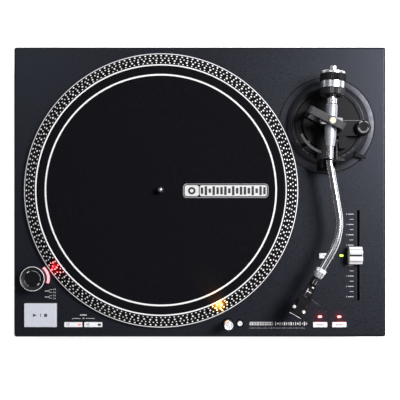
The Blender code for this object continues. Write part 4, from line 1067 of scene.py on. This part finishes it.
def make_rest_and_cueing():
    keep("arm_rest", "matt_black", 0.0005, 3)
    keep("arm_clip", "black", 0.0004, 2)
    keep("lifter", "black", 0.0005, 3)
    keep("cue_lever", "dark", 0.0003, 2)
    ribs = radial(0.0365, [204 + 3.0 * k for k in range(17)], 0.0028, 0.00075)
    rib_height = box("lifter")[1].z + 0.00005
    own(marks("lifter_ribs", ribs, "rib", upright(Vector((PIVOT.x, PIVOT.y, rib_height))), 0.0005),
        "lifter", "black_plastic")
    hinge = joint_point("cue_turn")
    low, high = box("cue_lever")
    hub = place(Vector((high.x, hinge.y, hinge.z)), Vector((1, 0, 0)))
    own(lathe("cue_hub_cap", [("dark", [
        (0, 0.0002), (0.0016, 0.0002), (0.0019, 0.00005), (0.0019, -0.0004), (0, -0.0004)])], hub, 48),
        "cue_lever", "steel")
    end = Vector(((low.x + high.x) / 2, low.y, hinge.z))
    own(lathe("cue_grip", [("black", [(0, -0.0001), (0.0015, 0.0), (0.0019, 0.0004), (0.00195, 0.0010)]),
                           ("black", [(0.00196, 0.0012), (0.00196, 0.0078)]),
                           ("black", [(0.0019, 0.0082), (0.0014, 0.0086), (0, 0.0086)])],
              place(end, Vector((0, 1, 0))), 60, ribs={1: (15, 0.0002)}), "cue_lever", "black_plastic")
    # a black block painted as the shade inside the cue lever's slot
    gate_at = Vector((0.1704, 0.0583, box("arm_base")[1].z))
    own(block("cue_gate_shadow", (-0.0012, -0.0060, -0.0004), (0.0012, 0.0060, 0.00012), "pit",
              upright(gate_at), 0.0001, 1), "arm_base", "black_plastic")


# ---- tonearm ------------------------------------------------------------------------------------
def bend(before, corner, after, radius, count):
    """Points of a rounded corner between two straight runs."""
    inward, outward = (before - corner).normalized(), (after - corner).normalized()
    half = inward.angle(outward) / 2
    centre = corner + (inward + outward).normalized() * (radius / math.sin(half))
    first = (corner + inward * (radius / math.tan(half)) - centre).normalized()
    last = (corner + outward * (radius / math.tan(half)) - centre).normalized()
    return [centre + radius * first.slerp(last, i / (count - 1)) for i in range(count)]


def make_gimbal_and_barrel():
    keep("gimbal", "gunmetal", 0.0005, 3)
    front, rear = span("arm_housing", PIVOT, REAR)
    r = 0.0070
    own(lathe("arm_barrel", [
        ("pit", [(0, front + 0.0012), (0.0045, front + 0.0010)]),
        ("barrel", [(0.0046, front + 0.0008), (0.0046, front + 0.0001), (0.0050, front),
                    (0.0055, front + 0.0003), (0.0056, front + 0.0008), (0.0058, front + 0.0030),
                    (0.0058, front + 0.0033), (0.0060, front + 0.0036)]
         + smooth_line([(0.00615, front + 0.0060), (0.0066, front + 0.0110), (r - 0.0001, front + 0.0180),
                        (r, front + 0.0210)], 5)
         + [(r, rear - 0.0036), (r - 0.0003, rear - 0.0033), (r - 0.0003, rear - 0.0030), (r, rear - 0.0027),
            (r, rear - 0.0012), (0.0066, rear - 0.0004), (0.0062, rear), (0, rear)])], ARM_BEHIND),
        "arm", "arm_metal", "arm_housing")
    aside = REAR.cross(UP)
    own(lathe("tilt_pins", [("steel", [(0, 0.0112), (0.0010, 0.0112), (0.0015, 0.0107), (0.0015, -0.0107),
                                       (0.0010, -0.0112), (0, -0.0112)])], place(PIVOT, aside), 32),
        "arm", "steel")
    for sign, end in ((1, "right"), (-1, "left")):
        own(lathe("tilt_cup_" + end, [("chrome", [(0, 0.0004), (0.0016, 0.0004), (0.0024, 0.0008),
                                                  (0.0030, 0.0004), (0.0030, -0.0002), (0, -0.0002)])],
                  place(PIVOT + aside * sign * 0.0122, aside * sign), 40), "gimbal", "steel")


def make_tube():
    corner_b, corner_c = PIVOT + FORWARD * 0.0447, PLUG - HEAD * 0.0531
    start, end = PIVOT + FORWARD * 0.0284, PLUG + HEAD * 0.0047
    path = ([start] + bend(start, corner_b, corner_c, 0.060, 14) + bend(corner_b, corner_c, end, 0.070, 26)
            + [end])
    own(tube("arm_pipe", [p - PIVOT for p in path], 0.0045, "tube_chrome",
             upright(PIVOT), 10), "arm", "arm_metal", "arm_tube")
    band_at = PIVOT + FORWARD * 0.0444
    low, high = -0.0012, 0.0012
    own(lathe("arm_band", [("matt_black", [(0.00453, low), (0.00462, low), (0.00472, low + 0.0002),
                                           (0.00472, high - 0.0002), (0.00462, high), (0.00453, high)])],
              place(band_at, FORWARD), 64, closed=True), "arm", "black_plastic")


def make_rear_end():
    near, far = span("rear_shaft", PIVOT, REAR)
    own(lathe("rear_stub", [
        ("chrome", [(0, near), (0.0038, near), (0.0038, 0.0585), (0.0040, 0.0590), (0.0040, far - 0.0004),
                    (0.0037, far), (0.0019, far)]),
        ("pit", [(0.0017, far - 0.0010), (0.0016, far - 0.0040), (0, far - 0.0040)])], ARM_BEHIND, 64),
        "arm", "arm_metal", "rear_shaft")
    own(lathe("rear_bush", [("chrome", [(0.0041, near), (0.0056, near), (0.0060, near + 0.0004),
                                        (0.0060, near + 0.0062), (0.0056, near + 0.0066),
                                        (0.0041, near + 0.0066)])], ARM_BEHIND, 64, closed=True),
        "arm", "arm_metal")
    at = PIVOT + REAR * (near + 0.0034) + UP * 0.0060
    own(lathe("bush_screw", [("pit", [(0, 0.0002), (0.0010, 0.0002), (0.0012, 0.0), (0.0012, -0.0006),
                                      (0, -0.0006)])], upright(at), 24), "arm", "black_plastic")
    near, far = span("weight_sleeve", PIVOT, REAR)
    own(lathe("weight_thread", [("brass", [(0.0043, near), (0.0052, near)]
                                 + [(0.0052 + 0.0002 * (k % 2), near + 0.0006 + 0.0004 * k) for k in range(54)]
                                 + [(0.0052, far), (0.0043, far)])], ARM_BEHIND, 48, closed=True),
        "weight_sleeve", "brass", "weight_sleeve")

    near, far = span("counterweight", PIVOT, REAR)
    own(lathe("weight_body", [
        ("chrome", [(0.0057, far - 0.0200), (0.0057, near), (0.0070, near), (0.0070, 0.0393),
                    (0.0134, 0.0393), (0.01375, 0.0397), (0.01375, 0.0474)]),
        ("matt_black", [(0.0151, 0.0478), (0.01535, 0.0481)]),
        ("matt_black", [(0.01535, 0.0483), (0.01535, 0.0553)]),
        ("matt_black", [(0.01520, 0.0556), (0.0144, 0.0562)]),
        ("chrome", [(0.0143, 0.0566), (0.0143, 0.0584), (0.0139, far), (0.0112, far), (0.0108, far - 0.0006),
                    (0.0080, far - 0.0006)]),
        ("satin", [(0.0076, far - 0.0002), (0.0060, far), (0.0057, far - 0.0004)]),
    ], ARM_BEHIND, 160, closed=True, ribs={2: (40, 0.00055)}), "counterweight", "arm_metal", "counterweight")
    near, far = span("force_dial", PIVOT, REAR)
    own(lathe("force_ring", [
        ("matt_black", [(0.0073, near + 0.0002), (0.0134, near), (0.0138, near + 0.0005)]),
        ("black", [(0.0144, near + 0.0014), (0.0145, near + 0.0017)]),
        ("black", [(0.0145, near + 0.0019), (0.0145, far - 0.0004)]),
        ("matt_black", [(0.0141, far), (0.0073, far)])], ARM_BEHIND, 160, closed=True, ribs={2: (60, 0.0003)}),
        "force_dial", "black_plastic", "force_dial")
    bm = bmesh.new()
    for k in range(20):
        spin = Matrix.Rotation(math.tau * k / 20, 4, "Z")
        length = 0.0030 if k % 5 == 0 else 0.0018
        cube(bm, (0.0105, -0.00022, near - 0.0001), (0.0105 + length, 0.00022, near + 0.0003), spin)
    own(from_bmesh("force_ticks", bm, ["print"], ARM_BEHIND), "force_dial", "print_white")


def make_locking_collar():
    low, high = span("locking_collar", PLUG, HEAD)
    r = 0.0064
    own(lathe("lock_ring", [
        ("satin", [(0.0048, high), (0.0054, high), (0.0058, high - 0.0004), (0.0058, high - 0.0022)]),
        ("chrome", [(r - 0.0003, high - 0.0026), (r, high - 0.0030), (r, low + 0.0052),
                    (r - 0.0004, low + 0.0048)]),
        ("bright", [(r, low + 0.0044)]),
        ("bright", [(r, low + 0.0042), (r, low + 0.0010)]),
        ("bright", [(r - 0.0003, low + 0.0005), (0.0058, low), (0.0048, low)])],
              place(PLUG, HEAD), 120, closed=True, ribs={3: (10, 0.0009)}),
        "locking_collar", "arm_metal", "locking_collar")


def on_head(x, y, z):
    return HEAD_FLAT @ Matrix.Translation((x, y, z))


def make_headshell():
    start, front = 0.0094, HEAD_FRONT
    low, high = -0.0027, 0.0015
    outline = [(start + 0.0008, -0.0050), (start + 0.0135, -0.0053), (start + 0.0160, -0.0056),
               (start + 0.0240, -0.0081), (start + 0.0262, -0.0084), (front - 0.0018, -0.0085),
               (front - 0.0007, -0.0081), (front - 0.0001, -0.0070)]
    outline += [(x, -y) for x, y in outline[::-1]]
    shell = plate("head_plate", outline, low, high, "shell", HEAD_FLAT, 0.0007, 3)
    for room in (rounded(0.0118, 0.0066, 0.0014, 5, (0.0268, 0.0)),
                 rounded(0.0160, 0.0024, 0.00118, 6, (0.0465, -SCREW_ASIDE)),
                 rounded(0.0160, 0.0024, 0.00118, 6, (0.0465, SCREW_ASIDE))):
        cut(shell, plate("room", room, low - 0.01, high + 0.01, "shell", HEAD_FLAT, 0))
    own(shell, "arm", "black_plastic", "headshell")
    own(lathe("head_neck", [("black", [(0, 0.0061), (0.0050, 0.0061), (0.0052, 0.0063), (0.0052, 0.0150)]),
                            ("black", [(0.0050, 0.0158), (0.0040, 0.0162), (0, 0.0162)])],
              place(PLUG, HEAD), 64), "arm", "black_plastic")
    stripes = [(0.0120, y, 0.0052, 0.0009) for y in (-0.0014, 0.0014)]
    own(marks("neck_stripes", stripes, "white", on_head(0, 0, 0.0047), 0.00045), "arm", "print_white")
    stripe = [(0.0188, 0.0016, 0.0016, 0.0022)]
    own(marks("head_stripe", stripe, "white", on_head(0, 0, high + 0.00005), 0.0002), "arm", "print_white")
    own(block("head_front_bar", (front - 0.0008, -0.0079, low + 0.0006),
              (front - 0.0001, 0.0073, high + 0.0003), "satin", HEAD_FLAT, 0.0002), "arm", "bare_aluminium")
    for sign, side in ((-1, "left"), (1, "right")):
        at = on_head(SCREW_AT, sign * SCREW_ASIDE, high)
        screw = lathe("cartridge_screw_" + side, [("bright", [
            (0, 0.0013), (0.0011, 0.0013), (0.0018, 0.0009), (0.0021, 0.0003), (0.0021, 0.0), (0.0011, 0.0),
            (0.0011, -0.0100), (0, -0.0100)])], at, 40)
        room = block("slot", (-0.003, -0.0003, 0.0008), (0.003, 0.0003, 0.002), "bright",
                     at @ Matrix.Rotation(0.6 * sign, 4, "Z"), 0.00008, 1)
        own(cut(screw, room), "arm", "steel")
        own(lathe("cartridge_nut_" + side, [("satin", [(0.0012, 0.0), (0.0020, 0.0), (0.0020, -0.0010),
                                                       (0.0012, -0.0010)])],
                  on_head(SCREW_AT, sign * SCREW_ASIDE, low - 0.0001), 6, closed=True), "arm", "steel")

    # leads from the neck to the pins of the cartridge
    pins_at, pin_height = 0.0312, low - 0.0040
    for look, aside, lift in (("lead_white", -0.0024, 0.0021), ("lead_blue", -0.0009, 0.0007),
                              ("lead_red", 0.0009, 0.0013), ("lead_green", 0.0024, 0.0004)):
        lead = smooth_line([(0.0165, aside * 0.5, -0.0036), (0.0208, aside * 0.75, -0.0030),
                            (0.0238, aside * 1.1, -0.0005 + lift), (0.0266, aside * 1.1, 0.0006 + lift),
                            (0.0292, aside, -0.0012), (pins_at - 0.0008, aside, pin_height)], 7)
        own(tube(look, lead, 0.00042, look, HEAD_FLAT, 3), "arm", look_slot(look))
        for part, back, ahead, radius, finish, part_slot in (
                ("_tag", -0.0012, 0.0012, 0.00062, "cream", look_slot(look)),
                ("_pin", 0.0, 0.0028, 0.00035, "gold", "brass")):
            ends = [(pins_at + x, aside, pin_height) for x in (back, ahead)]
            own(tube(look + part, ends, radius, finish, HEAD_FLAT, 3), "arm", part_slot)
    arch = smooth_line([(0.0250, -0.0031, low + 0.0002), (0.0252, -0.0030, 0.0012), (0.0254, -0.0018, 0.0026),
                        (0.0254, 0.0, 0.0030), (0.0254, 0.0018, 0.0026), (0.0252, 0.0030, 0.0012),
                        (0.0250, 0.0031, low + 0.0002)], 6)
    own(tube("lead_clip", arch, 0.0003, "dot", HEAD_FLAT, 3), "arm", "steel")

    wire = smooth_line([(0.0316, 0.0045, 0.0003), (0.0324, 0.0110, -0.0004), (0.0334, 0.0175, -0.0004),
                        (0.0344, 0.0235, 0.0010), (0.0353, 0.0287, 0.0031)], 7)
    own(tube("finger_wire", wire, 0.00105, "black", HEAD_FLAT, 5), "arm", "black_plastic")


def look_slot(look):
    return {"lead_green": "lamp_green", "lead_red": "red_window", "lead_white": "white_plastic"}.get(
        look, "black_plastic")


def make_cartridge():
    front, low, high = HEAD_FRONT, -0.0150, -0.0030
    own(block("cartridge_case", (front - 0.0265, -0.0068, low), (front - 0.0010, 0.0068, high),
              "cartridge", HEAD_FLAT, 0.0009), "arm", "black_plastic", "cartridge")
    own(plate("cartridge_ears", rounded(0.0070, 0.0160, 0.0012, 5, (SCREW_AT, 0.0)), high - 0.0026, high,
              "cartridge", HEAD_FLAT, 0.0004), "arm", "black_plastic")
    own(block("cartridge_back", (front - 0.0270, -0.0050, high - 0.0075),
              (front - 0.0262, 0.0050, high - 0.0012), "matt_black", HEAD_FLAT, 0.0002),
        "arm", "black_plastic")
    own(block("stylus_grip", (front - 0.0190, -0.0038, low - 0.0024),
              (front - 0.0045, 0.0038, low - 0.0001), "white", HEAD_FLAT, 0.0006),
        "arm", "white_plastic", "stylus")
    tip = Vector((0.0554, 0.0, DECK + 0.0184 - PIVOT.z))
    root = Vector((front - 0.0088, 0.0, low - 0.0014))
    own(tube("cantilever", [root, tip], 0.00032, "satin", HEAD_FLAT, 3), "arm", "bare_aluminium")
    own(lathe("diamond_tip", [("satin", [(0, -0.0005), (0.0002, 0.0), (0.0002, 0.0003), (0, 0.0003)])],
              on_head(*tip), 12), "arm", "bare_aluminium")
    wing = [(front - 0.0060, -0.0036), (front - 0.0022, -0.0024), (front - 0.0022, -0.0016),
            (front - 0.0060, -0.0022)]
    own(plate("stylus_guard", wing, low - 0.0020, low - 0.0006, "white", HEAD_FLAT, 0.0002),
        "arm", "white_plastic")


# ---- case, feet, rear panel and inner pieces ----------------------------------------------------
def make_case():
    keep("top_plate", "deck", 0.0012, 4)
    keep("base_tray", "tray", 0.0010, 3)
    keep("bottom_plate", "steel", 0.0003)
    proud = 0.000035                            # of the black line, painted as a groove's shadow, before the skirt
    low, high = box("top_plate")
    z = low.z + 0.0012
    # black lines along the front and rear skirt: painted shadow of a groove
    for name, corner_low, corner_high in (
            ("front", (low.x + 0.02, low.y - proud, z), (high.x - 0.02, low.y + 0.0004, z + 0.0007)),
            ("rear", (low.x + 0.02, high.y - 0.0004, z), (high.x - 0.02, high.y + proud, z + 0.0007))):
        own(block("skirt_groove_shadow_" + name, corner_low, corner_high, "pit", None, 0.0001, 1), "plinth",
            "black_plastic")


def make_feet():
    for corner in ("front_left", "front_right", "rear_left", "rear_right"):
        node = "foot_" + corner
        centre, radius, top = middle(node), half_width(node), box(node)[1].z
        own(lathe(node + "_body", [
            ("foot", [(0, 0.0095), (0.0053, 0.0095), (0.0053, top), (0.0176, top), (0.0183, top - 0.0004)]
             + smooth_line([(0.0195, top - 0.0010), (0.0250, top - 0.0030), (radius - 0.0006, top - 0.0052),
                            (radius, top - 0.0066)], 5)
             + [(radius, 0.0080), (radius - 0.0007, 0.0076), (radius - 0.0007, 0.0062), (radius, 0.0058),
                (radius, 0.0020), (radius - 0.0006, 0.0006), (radius - 0.0018, 0.0), (0.0170, 0.0),
                (0.0166, 0.0012), (0, 0.0012)])], upright((centre.x, centre.y, 0.0)), 96),
            node, "foot_rubber", node)
        keep("foot_stud_" + corner, "steel", 0.0003)


def make_rear_panel():
    keep("rear_panel", "dark", 0.0003)
    keep("rca_sockets", "black", 0.0003)
    keep("power_inlet", "black", 0.0004)
    keep("ground_post", "steel", 0.0002)
    back = box("rear_panel")[1].y
    z = middle("rca_sockets").z
    aft = Vector((0, 1, 0))
    jacks = ((0.052, "lead_white"), (0.070, "lead_red"))
    for index, (x, colour) in enumerate(jacks):
        at = place(Vector((x, back, z)), aft)
        own(lathe(f"jack_{index}", [("gold", [
            (0.0017, 0.0074), (0.0030, 0.0074), (0.0034, 0.0076), (0.0040, 0.0074), (0.00425, 0.0070),
            (0.00425, 0.0034), (0.0056, 0.0030), (0.0058, 0.0026), (0.0058, 0.0018), (0.0017, 0.0018)])],
                  at, 48, closed=True), "plinth", "brass")
        own(lathe(f"jack_band_{index}", band(colour, 0.0024, 0.0031, 0.0072, 0.0078), at, 48, closed=True),
            "plinth", "white_plastic" if index == 0 else "red_window")
    nut_box = box("ground_nut")
    centre = middle("ground_nut")
    out = place(Vector((centre.x, nut_box[0].y, centre.z)), aft)
    length = nut_box[1].y - nut_box[0].y
    own(lathe("ground_thumb_nut", [
        ("gold", [(0.0023, 0.0), (0.0046, 0.0), (0.0050, 0.0004)]),
        ("gold", [(0.0050, 0.0006), (0.0050, length - 0.0006)]),
        ("gold", [(0.0046, length), (0.0023, length)])], out, 96, closed=True, ribs={1: (24, 0.0004)}),
        "ground_nut", "brass", "ground_nut")
    low, high = box("rear_panel")
    screws_x = (low.x + 0.006, 0.1065, high.x - 0.005)
    for index, x in enumerate(screws_x):
        at = place(Vector((x, back, z + 0.0095)), aft)
        own(lathe(f"panel_screw_{index}", [("steel", [(0, 0.0009), (0.0012, 0.0009), (0.0020, 0.0004),
                                                      (0.0021, 0.0), (0, 0.0)])], at, 32), "plinth", "steel")
    inlet = middle("power_inlet")
    for index, (shift_x, shift_z) in enumerate(((-0.007, 0.002), (0.007, 0.002), (0.0, -0.002))):
        x, height = inlet.x + shift_x, z + shift_z
        own(block(f"inlet_blade_{index}", (x - 0.0011, back - 0.011, height - 0.0021),
                  (x + 0.0011, back - 0.0006, height + 0.0021), "steel", None, 0.0003), "plinth", "steel")


def make_inside():
    for node, look in (("bearing_housing", "cast"), ("motor_stator", "copper"), ("rotor_magnet", "ferrite"),
                       ("control_board", "board"), ("transformer", "dark"), ("fader_body", "pit")):
        keep(node, look, 0.0004, 2)


# ---- everything, in order -----------------------------------------------------------------------
for make in (make_platter, make_mat, make_strobe, make_buttons, make_indicators, make_target_lamp, make_fader,
             make_deck_prints, make_arm_base, make_antiskate, make_rest_and_cueing, make_gimbal_and_barrel,
             make_tube, make_rear_end, make_locking_collar, make_headshell, make_cartridge, make_case,
             make_feet, make_rear_panel, make_inside, make_camera, make_studio):
    make()
